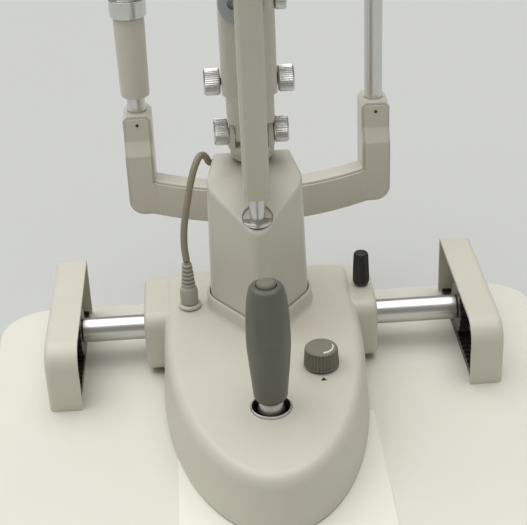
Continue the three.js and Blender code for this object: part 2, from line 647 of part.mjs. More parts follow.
function clampKnob() {
  const { x, radius, height, flutes } = CLAMP_KNOB;
  const bottom = BASE_TOP.height - 1.6;
  const ring = (lift, scale) => ribbedOutline(radius * scale, (radius - 0.6) * scale, flutes)
    .map(([a, b]) => [a, b, bottom + lift]);
  const grip = loft([ring(0, 0.82), ring(3, 1), ring(height - 7, 0.95), ring(height - 2, 0.86), ring(height, 0.62)]);
  const screw = rod('z', 3, [0, 0], AXLE.height + AXLE.radius + 4.2, bottom + 3, 16);
  return piece('clamp_knob', join(grip, screw).translate(x, 0, 0), 'black', 0.45);
}

// ---- joystick ------------------------------------------------------------------------------------------------
function gimbalRing() {
  const { y, pivotHeight } = JOYSTICK;
  const ring = tubeRing(20, 16, pivotHeight - 3, pivotHeight + 3, 16);
  const pins = sides.map((side) => rod('x', 2.4, [0, pivotHeight], side < 0 ? -29 : 19, side < 0 ? -19 : 29, 10));
  const pinHole = rod('y', 2.8, [0, pivotHeight], -25, 25, 10);
  return piece('gimbal_ring', cut(join(ring, ...pins), pinHole).translate(0, y, 0), 'darkSteel', 0.35, 1);
}

function joystickShaft() {
  const { y, pivotHeight, gripBottom, gripTop } = JOYSTICK;
  const stick = turned([[0, 7.5], [3, 8], [5.5, 11], [5.5, 14], [4, 17], [4, 24], [12, 28], [12, 36], [7, 44],
    [11, 50], [11, 54], [8.6, gripBottom - 1], [4, gripBottom - 1], [4, gripTop - 30], [0, gripTop - 30]], 16);
  const pins = rod('y', 2.4, [0, pivotHeight], -19, 19, 10);
  return piece('joystick_shaft', join(stick, pins).translate(0, y, 0), 'chrome', 0.2, 1);
}

function joystickGrip() {
  const { y, gripBottom, gripTop, gripRadius } = JOYSTICK;
  const profile = [[0, gripBottom], [11.5, gripBottom], [13.2, gripBottom + 3], [15.2, 92], [16.6, 118],
    [gripRadius, 138], [16.6, 154], [14.6, gripTop - 2.4], [11.8, gripTop], [0, gripTop]];
  const flat = block(-30, 30, -40, -14.2, 84, 156);
  const shaftBore = rod('z', 4.4, [0, 0], gripBottom - 5, gripTop - 29, 16);
  const buttonBore = rod('z', 8, [0, 0], gripTop - 7, gripTop + 5, 16);
  const grip = cut(turned(profile, 20), flat, shaftBore, buttonBore);
  return piece('joystick_grip', grip.translate(0, y, 0), 'joystick', 0.55);
}

function joystickButton() {
  const { y, gripTop } = JOYSTICK;
  const cap = turned([[0, gripTop - 4.3], [7.4, gripTop - 4.3], [7.4, gripTop + 0.8], [6, gripTop + 2],
    [0, gripTop + 2.4]], 16);
  return piece('joystick_button', cap.translate(0, y, 0), 'joystick', 0.5);
}

// ---- column --------------------------------------------------------------------------------------------------
function liftSpindle() {
  const profile = [[0, BASE.bottom + 5], [SPINDLE.footRadius, BASE.bottom + 5],
    [SPINDLE.footRadius, BASE.bottom + 11], [SPINDLE.radius, BASE.bottom + 11]];
  for (let thread = 0; thread < 3; thread += 1) {
    const z = 74 + thread * 15;
    profile.push([SPINDLE.radius, z], [SPINDLE.radius - 1, z + 3], [SPINDLE.radius, z + 6]);
  }
  profile.push([SPINDLE.radius, 118], [0, 118]);
  return piece('lift_spindle', turned(profile, 12).translate(0, SPINDLE.y, 0), 'steel', 0.3, 1);
}

// everything under the column's top, which slopes down to the front and to the rear, lowered by drop
function underColumnTop(drop) {
  const { rearTop, slope, slopeEnd, rearSlope, rearEnd } = COLUMN;
  const [front, back] = [-100, 80];
  return slab([[front, -20], [back, -20], [back, rearTop - drop - rearSlope * (back - rearEnd)],
    [rearEnd, rearTop - drop], [slopeEnd, rearTop - drop],
    [front, rearTop - drop - slope * (slopeEnd - front)]], 'x', -80, 80);
}

function columnBody(grow, from, to) {
  const { inset, bottom } = COLUMN;
  const growAt = (z) => grow - (inset * Math.max(0, z - 60)) / 130;
  const levels = [from, 60, to].filter((z, i, all) => i === 0 || z > all[i - 1]);
  return loft(levels.map((z) => atHeight(hullOutline(COLUMN_OUTLINE, growAt(z)), Math.max(z, bottom - 10))));
}

const NOSE_DISC = { y: -56, radius: 12.5, thickness: 2 };

// seats a flat round piece on the sloping top
function onSlope(geometry, y, lift) {
  const { rearTop, slope, slopeEnd } = COLUMN;
  return geometry.rotateX(Math.atan(slope)).translate(0, y, rearTop - slope * (slopeEnd - y) + lift);
}

function columnShell() {
  const outer = common(columnBody(0, COLUMN.bottom, 230), underColumnTop(0));
  const inner = common(columnBody(-COLUMN.wall, COLUMN.bottom - 10, 230), underColumnTop(6));
  const nut = block(-30, 30, 14, 34, 84, 96);
  const boss = rod('z', 13, [0, SWING.y], 150, 184);
  const within = common(columnBody(-COLUMN.wall / 2, COLUMN.bottom, 230), underColumnTop(3));
  const insides = common(join(nut, boss), within);
  const axleSlot = block(-60, 60, -14, 14, 0, AXLE.height + AXLE.radius + 16.5);
  const tools = [
    axleSlot,
    rod('z', SPINDLE.radius + 0.6, [0, SPINDLE.y], 60, 130, 12),
    rod('z', SWING.postRadius + GAP, [0, SWING.y], 140, 220, 20),
    onSlope(rod('z', NOSE_DISC.radius + GAP, [0, 0], -1.8, 5, 24), NOSE_DISC.y, 0),
    rod('z', STOP_PIN_RADIUS + GAP, [0, BAR.y], 156, 200, 16),
    rod('x', CABLE_RADIUS + 1.7, [24, 174.5], -60, -10, 12),
  ];
  return piece('column_shell', cut(join(cut(outer, inner), insides), ...tools), 'ivory');
}

// flanged steel post under the bar's foot that marks the straight-ahead position
function centreStop() {
  const disc = onSlope(rod('z', NOSE_DISC.radius, [0, 0], -1, NOSE_DISC.thickness - 1, 24), NOSE_DISC.y, 0);
  const pin = rod('z', STOP_PIN_RADIUS, [0, BAR.y], 156.5, BAR.bottom - GAP, 16);
  return piece('centre_stop', join(disc, pin), 'chrome', 0.2, 1);
}

function swingPost() {
  const post = turned([[0, 152], [SWING.postRadius, 152], [SWING.postRadius, 203], [5.5, 204], [0, 204]], 20);
  return piece('swing_post', post.translate(0, SWING.y, 0), 'steel', 0.25, 1);
}

// ---- lamp tower ----------------------------------------------------------------------------------------------
const ARM_HUB = { bottom: 195.4, top: 202 };
const EAR = { inner: 13.8, outer: 18.2 };

function lampArm() {
  const hub = rod('z', SWING.hubRadius, [0, SWING.y], ARM_HUB.bottom, ARM_HUB.top, 24);
  const ears = sides.map((side) => {
    const outline = [...arc(TILT.y, TILT.z, 9, 0, 180, 6), [TILT.y - 9, ARM_HUB.top - 1], [TILT.y + 9, ARM_HUB.top - 1]];
    return slab(outline, 'x', side < 0 ? -EAR.outer : EAR.inner, side < 0 ? -EAR.inner : EAR.outer);
  });
  const earFoot = block(-EAR.outer, EAR.outer, TILT.y - 9, TILT.y + 9, ARM_HUB.bottom, ARM_HUB.top - 0.5);
  const tiltBore = rod('x', 3.3, [TILT.y, TILT.z], -30, 30, 12);
  const postBore = rod('z', SWING.postRadius + GAP, [0, SWING.y], 180, 210, 20);
  return piece('lamp_arm', cut(join(hub, earFoot, ...ears), tiltBore, postBore), 'ivory');
}

// two knurled knobs on one cross shaft
function knobPair(name, { y, z, knobInner, knobOuter, knobRadius }) {
  const knob = (from, to) => ribbedKnob(knobRadius, 0.7, 16, from, to).rotateY(Math.PI / 2).translate(0, y, z);
  const shaft = rod('x', 3, [y, z], -knobInner - 2, knobInner + 2, 12);
  const collars = sides.map((side) => rod('x', 5, [y, z], side < 0 ? -knobInner - 1 : knobInner - 0.2,
    side < 0 ? 0.2 - knobInner : knobInner + 1, 12));
  return piece(name, join(knob(-knobOuter, -knobInner), knob(knobInner, knobOuter), shaft, ...collars), 'steel', 0.25, 1);
}

function lampTower() {
  const { y, halfWidth, footHalfWidth, halfDepth, bottom, step, top } = TOWER;
  const box = (half, from, to) => slab(roundedRectangle(-half, half, y - halfDepth, y + halfDepth, 6, 3), 'z', from, to);
  const outer = join(box(footHalfWidth, bottom, step + 1), box(halfWidth, step, top));
  const hollow = slab(roundedRectangle(-15, 15, y - 12, y + 12, 4, 3), 'z', 276, top + 5);
  const lug = block(-13.3, 13.3, TILT.y - 8, TILT.y + 8, TILT.z - 6.5, bottom + 1);
  const tiltBore = rod('x', 3.3, [TILT.y, TILT.z], -30, 30, 12);
  const slitBore = rod('x', 3.3, [SLIT.y, SLIT.z], -30, 30, 12);
  const lampHole = rod('y', 7, [0, 292], y, y + 30, 12);
  return piece('lamp_tower', cut(join(outer, lug), hollow, tiltBore, slitBore, lampHole), 'ivory');
}

function lampBulb() {
  const bulb = turned([[0, 276.5], [9, 276.5], [9, 284], [5, 287], [7, 296], [6, 304], [0, 308]], 12);
  return piece('lamp_bulb', bulb.translate(0, TOWER.y, 0), 'white', 0.2);
}

const DIAL = { x: -4, z: 331, radius: 18.4 };

// round aperture dial on the operator's side of the tower
function apertureDial() {
  const front = TOWER.y - TOWER.halfDepth - GAP;
  const disc = rod('y', DIAL.radius, [0, 0], -9, 0, 28);
  const eye = rod('y', 5, [-6, 0], -20, -5, 14);
  const marks = rod('y', 1.6, [0, 13], -20, -7.5, 10);
  return piece('aperture_dial', cut(disc, eye, marks).translate(DIAL.x, front, DIAL.z), 'blueGrey', 0.35, 0.6);
}

function filterWheel() {
  const x = TOWER.halfWidth + GAP;
  const rim = ribbedKnob(13, 0.9, 18, x, x + 9).rotateY(Math.PI / 2).translate(0, TOWER.y - 4, 331);
  return piece('filter_wheel', rim, 'steel', 0.25, 1);
}

// lens tube and narrow prism holder that sends the light towards the patient
function prismHead() {
  const { y, top } = TOWER;
  const flange = slab(roundedRectangle(-20, 20, y - 15, y + 15, 5, 3), 'z', top + GAP, top + 8);
  const tube = turned([[0, top + 7], [15, top + 7], [15, top + 40], [12, top + 46], [0, top + 46]], 20).translate(0, y, 0);
  const holder = slab([[y - 9, top + 40], [y + 9, top + 40], [y + 9, 418], [y - 6, 452], [y - 9, 452]], 'x', -8, 8);
  return piece('prism_head', join(flange, tube, holder), 'black', 0.4);
}

// ---- microscope ----------------------------------------------------------------------------------------------
function microscopeArm() {
  const { y, width, depth, bottom, top, chamfer } = BAR;
  const [half, front, back] = [width / 2, y - depth / 2, y + depth / 2];
  const bar = slab([[-half + chamfer, front], [half - chamfer, front], [half, front + chamfer], [half, back],
    [-half, back], [-half, front + chamfer]], 'z', bottom, top);
  const hub = rod('z', 18, [0, SWING.y], COLUMN.rearTop + GAP, ARM_HUB.bottom - 0.4, 24);
  const link = block(-8, 8, back - 2, SWING.y, COLUMN.rearTop + 0.5, ARM_HUB.bottom - 0.4);
  const gusset = slab([[back - 2, 187.5], [back + 9, 187.5], [back - 2, 214]], 'x', -6, 6);
  const seat = slab(roundedRectangle(-24, 24, y - 60, y + 20, 6, 3), 'z', top - 1, top + 14);
  const bore = rod('z', SWING.postRadius + GAP, [0, SWING.y], 180, 210, 20);
  return piece('microscope_arm', cut(join(bar, hub, link, gusset, seat), bore), 'ivory');
}

function microscopeBody() {
  const { halfWidth, front, back, halfHeight } = SCOPE;
  const [low, high] = [OPTICAL_HEIGHT - halfHeight, OPTICAL_HEIGHT + halfHeight];
  const ring = (y, inset) => roundedRectangle(-halfWidth + inset, halfWidth - inset, low + inset, high - inset, 12, 3)
    .map(([x, z]) => [x, y, z]).reverse();
  const body = loft([ring(back, 4), ring(back + 4, 0), ring(front - 5, 0), ring(front, 5)]);
  const saddle = slab(roundedRectangle(-20, 20, back + 34, front - 4, 4, 2), 'z', BAR.top + 14 + GAP, low + 2);
  const objective = rod('y', 24, [0, OPTICAL_HEIGHT], front - 2, front + 16, 24);
  const lensSeat = rod('y', 20, [0, OPTICAL_HEIGHT], front + 11, front + 20, 24);
  const drumBore = rod('x', 5, [(front + back) / 2, OPTICAL_HEIGHT], -60, 60, 12);
  return piece('microscope_body', cut(join(body, saddle, objective), lensSeat, drumBore), 'ivory');
}

function magnificationDrum() {
  const [y, z] = [(SCOPE.front + SCOPE.back) / 2, OPTICAL_HEIGHT];
  const knob = (from, to) => ribbedKnob(19, 1, 18, from, to).rotateY(Math.PI / 2).translate(0, y, z);
  const inner = SCOPE.halfWidth + 0.6;
  const shaft = rod('x', 4.5, [y, z], -inner - 2, inner + 2, 12);
  return piece('magnification_drum', join(knob(-inner - 12, -inner), knob(inner, inner + 12), shaft), 'black', 0.5);
}

// prism housing and tube of one eyepiece; it turns about its own light path to set the eye distance
function eyeTube(side) {
  const { pivot, offset, radius } = EYETUBE;
  const back = SCOPE.back - GAP;
  const [px, ex] = [side * pivot, side * offset];
  const housing = loft([back, back - 34].map((y) => hullOutline([[px, OPTICAL_HEIGHT, 15], [ex, OPTICAL_HEIGHT, 17]], 0, 24)
    .map(([x, z]) => [x, y, z])));
  const tube = rod('y', radius, [ex, OPTICAL_HEIGHT], back - 74, back - 32, 20);
  const spigot = rod('y', radius - 3, [ex, OPTICAL_HEIGHT], back - 84, back - 72, 16);
  return piece(side < 0 ? 'eyetube_left' : 'eyetube_right', join(housing, tube, spigot), 'ivory');
}

function eyepiece(side) {
  const { offset, radius } = EYETUBE;
  const end = SCOPE.back - GAP - 74;
  const ring = ribbedKnob(radius + 2.5, 0.7, 16, 0, 12);
  const cup = turned([[0, 11.8], [radius + 1, 11.8], [radius + 2, 26], [radius - 1, 27], [8, 20], [0, 20]], 20);
  const bore = rod('z', radius - 3 + GAP, [0, 0], -3, 10.4, 16);
  const body = cut(join(ring, cup), bore).rotateX(Math.PI / 2);
  return piece(side < 0 ? 'eyepiece_left' : 'eyepiece_right',
    body.translate(side * offset, end - GAP, OPTICAL_HEIGHT), 'black', 0.5);
}

// ---- assembly ------------------------------------------------------------------------------------------------
const stand = new THREE.Group();
stand.add(tableBoard(), slidePlate(), ...sides.map(rack), ...sides.map(railCover));
stand.add(...sides.map(guideBush), axleShaft(), ...sides.map(wheel));

const headRest = new THREE.Group();
headRest.add(restPedestal(), restYoke(), ...sides.map(yokePanel), ...sides.map(post), chinSleeve(), heightRing());
headRest.add(chinBar(), chinCup(), foreheadFrame(), foreheadBand(), fixationArm(), fixationLamp());

const carriage = new THREE.Group();
carriage.position.x = CARRIAGE_X;
carriage.add(baseHousing(), basePlate(), ...sides.map(axleBush), columnCollar());
carriage.add(cableSocket(), cablePlug(), lampCable());
carriage.add(joystickBezel(), dimmerBody(), brightnessKnob(), clampKnob());
carriage.add(gimbalRing(), joystickShaft(), joystickGrip(), joystickButton());
carriage.add(liftSpindle(), columnShell(), centreStop(), swingPost());
carriage.add(lampArm(), knobPair('tilt_knobs', TILT), lampTower(), knobPair('slit_knobs', SLIT), lampBulb());
carriage.add(apertureDial(), filterWheel(), prismHead());
carriage.add(microscopeArm(), microscopeBody(), magnificationDrum(), ...sides.map(eyeTube), ...sides.map(eyepiece));

const instrument = new THREE.Group();
instrument.position.z = BOARD.thickness;
instrument.add(stand, headRest, carriage);

const slitLamp = new THREE.Group();
slitLamp.add(instrument);

export default slitLamp;
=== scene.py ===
"""The looks of the slit lamp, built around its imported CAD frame.

Pieces are modelled in millimetres in two local frames, the stand's and the carriage's.
settle() puts them into the row frame, in metres.
"""
import json
import math

import bmesh
import bpy
from mathutils import Matrix, Vector

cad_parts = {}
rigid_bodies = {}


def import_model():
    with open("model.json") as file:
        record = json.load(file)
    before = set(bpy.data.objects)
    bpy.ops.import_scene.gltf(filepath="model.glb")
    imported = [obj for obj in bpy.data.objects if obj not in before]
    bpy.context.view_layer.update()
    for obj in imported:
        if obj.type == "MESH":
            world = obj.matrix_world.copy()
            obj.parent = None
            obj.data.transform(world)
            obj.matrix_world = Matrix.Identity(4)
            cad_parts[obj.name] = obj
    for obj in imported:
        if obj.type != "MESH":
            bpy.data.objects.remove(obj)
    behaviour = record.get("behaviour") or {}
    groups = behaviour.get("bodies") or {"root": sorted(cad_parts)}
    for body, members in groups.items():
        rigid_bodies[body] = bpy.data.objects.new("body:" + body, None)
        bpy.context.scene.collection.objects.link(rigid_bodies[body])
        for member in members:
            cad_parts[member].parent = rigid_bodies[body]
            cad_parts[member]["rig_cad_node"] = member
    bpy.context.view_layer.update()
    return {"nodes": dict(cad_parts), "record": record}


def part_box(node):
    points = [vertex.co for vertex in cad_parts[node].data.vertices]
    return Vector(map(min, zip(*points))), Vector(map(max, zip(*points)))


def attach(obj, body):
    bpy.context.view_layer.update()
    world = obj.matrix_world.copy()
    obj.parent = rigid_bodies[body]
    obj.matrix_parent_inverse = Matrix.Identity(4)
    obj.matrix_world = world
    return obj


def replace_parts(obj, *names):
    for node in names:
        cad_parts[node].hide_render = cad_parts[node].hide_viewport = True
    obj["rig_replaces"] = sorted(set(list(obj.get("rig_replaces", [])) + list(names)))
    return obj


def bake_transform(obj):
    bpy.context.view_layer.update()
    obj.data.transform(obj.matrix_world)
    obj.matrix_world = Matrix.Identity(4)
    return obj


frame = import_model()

MM = 0.001
SIDES = {"left": -1, "right": 1}


def middle_x(node):
    low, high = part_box(node)
    return (low.x + high.x) / 2


BOARD_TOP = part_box("table_board")[1].z
STAND = Vector((0, 0, BOARD_TOP))
CARRIAGE = Vector((middle_x("base_plate"), 0, BOARD_TOP))

# ---- driving dimensions, millimetres -------------------------------------------------------------------
GAP = 0.3
AXIS = 0.01  # radius at which a turned profile meets its own axis
AXLE_HEIGHT = 30
AXLE_RADIUS = 11
COVER = {"inner": 166, "width": 28, "half": 80, "height": 58, "wall": 3, "bend": 20, "rear_bend": 5,
         "round": 6}
BASE = {"half": 87, "straight": -60, "nose": 198, "rear": 42, "corner": 16, "bottom": 3, "wall": 4,
        "column_hole": 5}
BASE_TOP, BASE_SLOPE = 62.6, 0.042
FLANGE = {"half": 101.5, "front": -36, "bottom": 3.4, "top": 59.8, "corner": 12}
JOYSTICK_Y = -170
KNOB_X, KNOB_Y = 44, -120
CLAMP_X = 91
BEZEL_HOLE, BEZEL_WALL = 15, 1.2
CABLE_ENTRY_Y, CABLE_ENTRY_Z = 24, 174.5
SOCKET_X, SOCKET_Y = -61, -22
COLUMN_CIRCLES = [(0, -60, 13.5), (-18, -20, 24.3), (18, -20, 24.3), (-16, 17, 20), (16, 17, 20)]
COLUMN_TAPER = 3 / 130
COLUMN_TOP, COLUMN_SLOPE, COLUMN_SLOPE_END = 187, 0.51, -7
COLUMN_REAR_SLOPE, COLUMN_REAR_END = 0.75, 18
SWING_Y = 12
BAR_Y = -56
TOWER_Y = 2
POST_X, POST_Y, POST_RADIUS = 109.5, 130, 8.25
YOKE = {"middle_y": 104, "end_y": 120, "bottom": 88, "middle_bottom": 78, "height": 36}
UPRIGHT = {"width": 26, "front": 113.5, "back": 146.5, "top": 184, "foot": 106, "ledge_low": 147,
           "ledge_high": 160}
CHIN_Z, CHIN_Y = 300, 104
FOREHEAD_Z, FOREHEAD_BOW = 476, 30
OPTICS_Z = 430


# ---- outlines ------------------------------------------------------------------------------------------
def arc(centre_a, centre_b, radius, start, end, steps):
    angles = [math.radians(start + (end - start) * i / steps) for i in range(steps + 1)]
    return [(centre_a + radius * math.cos(t), centre_b + radius * math.sin(t)) for t in angles]


def rounded_rectangle(a0, a1, b0, b1, radius, steps=8):
    return (arc(a1 - radius, b0 + radius, radius, -90, 0, steps)
            + arc(a1 - radius, b1 - radius, radius, 0, 90, steps)
            + arc(a0 + radius, b1 - radius, radius, 90, 180, steps)
            + arc(a0 + radius, b0 + radius, radius, 180, 270, steps))


def hull_outline(circles, grow=0.0, steps=160):
    """Outline of the hull round circles, from the nose (-Y) anticlockwise, symmetric point by point."""
    outline = []
    for i in range(steps):
        angle = 2 * math.pi * (i + 0.5) / steps - math.pi / 2
        nx, ny = math.cos(angle), math.sin(angle)
        x, y, radius = max(circles, key=lambda c: c[0] * nx + c[1] * ny + c[2])
        outline.append((x + (radius + grow) * nx, y + (radius + grow) * ny))
    return outline


def filleted(points, radius, steps=4, closed=True):
    """The same outline with every corner rounded."""
    count = len(points)
    result = []
    for i, point in enumerate(points):
        if not closed and i in (0, count - 1):
            result.append(tuple(point))
            continue
        here, before, after = Vector(point), Vector(points[i - 1]), Vector(points[(i + 1) % count])
        to_before, to_after = before - here, after - here
        reach = min(radius, to_before.length * 0.45, to_after.length * 0.45)
        start, end = here + to_before.normalized() * reach, here + to_after.normalized() * reach
        for k in range(steps + 1):
            t = k / steps
            result.append(tuple(start * (1 - t) ** 2 + here * 2 * t * (1 - t) + end * t * t))
    return result


def subdivided(points, step):
    """An open outline with extra points, so that none of its stretches is longer than the step."""
    result = [points[0]]
    for before, after in zip(points, points[1:]):
        count = max(1, math.ceil((Vector(after) - Vector(before)).length / step))
        result += [tuple(Vector(before).lerp(Vector(after), k / count)) for k in range(1, count + 1)]
    return result


def inset(outline, distance):
    """A closed anticlockwise outline moved inwards."""
    count = len(outline)
    moved = []
    for i in range(count):
        before, here, after = Vector(outline[i - 1]), Vector(outline[i]), Vector(outline[(i + 1) % count])
        d1, d2 = (here - before), (after - here)
        if d1.length < 1e-6 or d2.length < 1e-6:
            direction = (after - before).normalized()
            moved.append((here.x - direction.y * distance, here.y + direction.x * distance))
            continue
        n1 = Vector((-d1.y, d1.x)).normalized()
        n2 = Vector((-d2.y, d2.x)).normalized()
        normal = n1 + n2
        scale = distance / max(0.35, normal.dot(n1)) if normal.length > 1e-6 else 0
        moved.append((here.x + normal.x * scale, here.y + normal.y * scale))
    return moved


# ---- meshes --------------------------------------------------------------------------------------------
def mesh_object(name, points, faces):
    mesh = bpy.data.meshes.new(name)
    mesh.from_pydata([tuple(p) for p in points], [], faces)
    editable = bmesh.new()
    editable.from_mesh(mesh)
    bmesh.ops.remove_doubles(editable, verts=editable.verts[:], dist=1e-4)
    bmesh.ops.recalc_face_normals(editable, faces=editable.faces[:])
    editable.to_mesh(mesh)
    editable.free()
    piece = bpy.data.objects.new(name, mesh)
    bpy.context.scene.collection.objects.link(piece)
    return piece


def loft(name, rings, closed=False):
    """A skin through rings of equally many points: capped at both ends, or joined into a ring."""
    count = len(rings[0])
    points = [p for ring in rings for p in ring]
    faces = []
    levels = len(rings) if closed else len(rings) - 1
    for level in range(levels):
        low, high = level * count, ((level + 1) % len(rings)) * count
        for i in range(count):
            j = (i + 1) % count
            faces.append((low + i, low + j, high + j, high + i))
    if not closed:
        faces.append(tuple(range(count)))
        faces.append(tuple(range(len(points) - count, len(points))))
    return mesh_object(name, points, faces)


AXIS_POINT = {
    "x": lambda a, b, c: (c, a, b),
    "y": lambda a, b, c: (a, c, b),
    "z": lambda a, b, c: (a, b, c),
}


def prism(name, outline, axis, low, high, edge=0.6, steps=3):
    """An outline drawn out along an axis, with both ends' edges rounded."""
    point = AXIS_POINT[axis]
    rings = []
    stations = [(edge * (1 - math.sin(math.pi / 2 * k / steps)),
                 edge * (1 - math.cos(math.pi / 2 * k / steps)))
                for k in range(steps + 1)] if edge else [(0, 0)]
    for inward, lift in reversed([(i, l) for l, i in stations]) if edge else [(0, 0)]:
        rings.append([point(a, b, low + lift) for a, b in inset(outline, inward)])
    top = [[point(a, b, high - lift) for a, b in inset(outline, inward)]
           for inward, lift in ([(i, l) for l, i in stations] if edge else [(0, 0)])]
    return loft(name, rings + top)


def turned(name, profile, segments=96, closed=False, ribs=None, axis="z", at=(0, 0, 0)):
    """A turned piece about an axis. ribs = (count, depth, low, high) cuts grooves into its outer surface."""
    widest = max(r for r, _ in profile)
    if ribs:
        segments = ribs[0] * 8
    rings = []
    for radius, height in profile:
        ring = []
        for i in range(segments):
            angle = 2 * math.pi * i / segments
            r = radius
            if ribs and ribs[2] <= height <= ribs[3] and radius > 0.8 * widest:
                r -= ribs[1] * (0.5 - 0.5 * math.cos(ribs[0] * angle)) ** 0.8
            ring.append((r * math.cos(angle), r * math.sin(angle), height))
        rings.append(ring)
    piece = loft(name, rings, closed)
    if axis == "x":
        piece.data.transform(Matrix.Rotation(math.pi / 2, 4, "Y"))
    if axis == "y":
        piece.data.transform(Matrix.Rotation(-math.pi / 2, 4, "X"))
    piece.data.transform(Matrix.Translation(at))
    return piece


def rod(name, axis, radius, at, low, high, segments=96, edge=0.4):
    """A round bar with softened ends; at holds the other two coordinates in x, y, z order."""
    edge = min(edge, radius / 3)
    profile = [(AXIS, low), (radius - edge, low), (radius - edge * 0.3, low + edge * 0.3),
               (radius, low + edge), (radius, high - edge), (radius - edge * 0.3, high - edge * 0.3),
               (radius - edge, high), (AXIS, high)]
    if axis == "x":
        return turned(name, profile, segments, axis="x", at=(0, at[0], at[1]))
    if axis == "y":
        return turned(name, profile, segments, axis="y", at=(at[0], 0, at[1]))
    return turned(name, profile, segments, at=(at[0], at[1], 0))


def block(name, x0, x1, y0, y1, z0, z1, edge=0.6):
    return prism(name, rounded_rectangle(x0, x1, y0, y1, edge, 3), "z", z0, z1, edge)


def combine(piece, tools, operation):
    """Booleans applied one after the other; the tools are used up."""
    for tool in tools:
        step = piece.modifiers.new("step", "BOOLEAN")
        step.operation = operation
        step.solver = "MANIFOLD"
        step.object = tool
    graph = bpy.context.evaluated_depsgraph_get()
    result = bpy.data.meshes.new_from_object(piece.evaluated_get(graph))
    piece.modifiers.clear()
    piece.data = result
    for tool in tools:
        bpy.data.objects.remove(tool)
    return piece


def cut(piece, *tools):
    return combine(piece, tools, "DIFFERENCE")


def join(piece, *others):
    return combine(piece, others, "UNION")


def soften(piece, width, angle=38, segments=2):
    """Rounds the sharp edges that booleans leave."""
    bevel = piece.modifiers.new("bevel", "BEVEL")
    bevel.width = width * MM
    bevel.segments = segments
    bevel.limit_method = "ANGLE"
    bevel.angle_limit = math.radians(angle)
    bevel.harden_normals = True


SLOT_OF = {part["node"]: part["material_slot"] for part in frame["record"]["subparts"]}
BODY_OF = {node: body for body, nodes in frame["record"]["behaviour"]["bodies"].items() for node in nodes}


def settle(piece, origin, node, name=None, slot=None, stands_for=True, bevel=0.0):
    """Moves a finished local piece into the row frame, on the body of its CAD node."""
    piece.data.transform(Matrix.Translation(origin) @ Matrix.Scale(MM, 4))
    piece.name = name or node + "_fine"
    dress(piece, slot or SLOT_OF[node])
    if bevel:
        soften(piece, bevel)
    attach(piece, BODY_OF[node])
    if stands_for:
        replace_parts(piece, node)
    return piece


def dress(piece, slot):
    piece.data.materials.clear()
    piece.data.materials.append(MATERIALS[slot])
    piece.data.shade_smooth()
    piece.data.set_sharp_from_angle(angle=math.radians(32))


# ---- materials -----------------------------------------------------------------------------------------
def surface(name, colour, roughness, metallic=0.0, mottle=0.04, mottle_scale=25, grain=0.0, grain_scale=900,
            brushed=None, coat=0.0, alpha_glass=False, speck=0.0):
    """Procedural finish: colour mottle, roughness variation, and a grain or brushed bump."""
    material = bpy.data.materials.new(name)
    material.use_nodes = True
    nodes, links = material.node_tree.nodes, material.node_tree.links
    shader = nodes["Principled BSDF"]
    shader.inputs["Metallic"].default_value = metallic
    shader.inputs["Coat Weight"].default_value = coat
    shader.inputs["Coat Roughness"].default_value = 0.2
    if alpha_glass:
        shader.inputs["Transmission Weight"].default_value = 0.9
        shader.inputs["IOR"].default_value = 1.5
    place = nodes.new("ShaderNodeTexCoord")
    spots = nodes.new("ShaderNodeTexNoise")
    spots.inputs["Scale"].default_value = mottle_scale
    spots.inputs["Detail"].default_value = 5
    links.new(place.outputs["Object"], spots.inputs["Vector"])
    shades = nodes.new("ShaderNodeValToRGB")
    shades.color_ramp.elements[0].position = 0.3
    shades.color_ramp.elements[1].position = 0.7
    shades.color_ramp.elements[0].color = [c * (1 - mottle) for c in colour] + [1]
    shades.color_ramp.elements[1].color = [min(1, c * (1 + mottle)) for c in colour] + [1]
    links.new(spots.outputs["Fac"], shades.inputs["Fac"])
    colour_out = shades.outputs["Color"]
    if speck:
        dust = nodes.new("ShaderNodeTexNoise")
        dust.inputs["Scale"].default_value = 700
        dust.inputs["Detail"].default_value = 2
        links.new(place.outputs["Object"], dust.inputs["Vector"])
        cut_off = nodes.new("ShaderNodeMapRange")
        cut_off.inputs["From Min"].default_value = 0.62
        cut_off.inputs["From Max"].default_value = 0.72
        cut_off.inputs["To Max"].default_value = speck
        links.new(dust.outputs["Fac"], cut_off.inputs["Value"])
        mixer = nodes.new("ShaderNodeMix")
        mixer.data_type = "RGBA"
        mixer.inputs["B"].default_value = [c * 0.55 for c in colour] + [1]
        links.new(cut_off.outputs["Result"], mixer.inputs["Factor"])
        links.new(colour_out, mixer.inputs["A"])
        colour_out = mixer.outputs["Result"]
    links.new(colour_out, shader.inputs["Base Color"])
    polish = nodes.new("ShaderNodeMapRange")
    polish.inputs["To Min"].default_value = roughness * 0.85
    polish.inputs["To Max"].default_value = roughness * 1.15
    links.new(spots.outputs["Fac"], polish.inputs["Value"])
    links.new(polish.outputs["Result"], shader.inputs["Roughness"])
    if grain or brushed:
        fine = nodes.new("ShaderNodeTexNoise")
        fine.inputs["Scale"].default_value = grain_scale
        fine.inputs["Detail"].default_value = 3
        if brushed:
            stretch = nodes.new("ShaderNodeMapping")
            stretch.inputs["Scale"].default_value = brushed
            links.new(place.outputs["Object"], stretch.inputs["Vector"])
            links.new(stretch.outputs["Vector"], fine.inputs["Vector"])
        else:
            links.new(place.outputs["Object"], fine.inputs["Vector"])
        bump = nodes.new("ShaderNodeBump")
        bump.inputs["Strength"].default_value = grain or 0.15
        bump.inputs["Distance"].default_value = 0.0002
        links.new(fine.outputs["Fac"], bump.inputs["Height"])
        links.new(bump.outputs["Normal"], shader.inputs["Normal"])
    return material


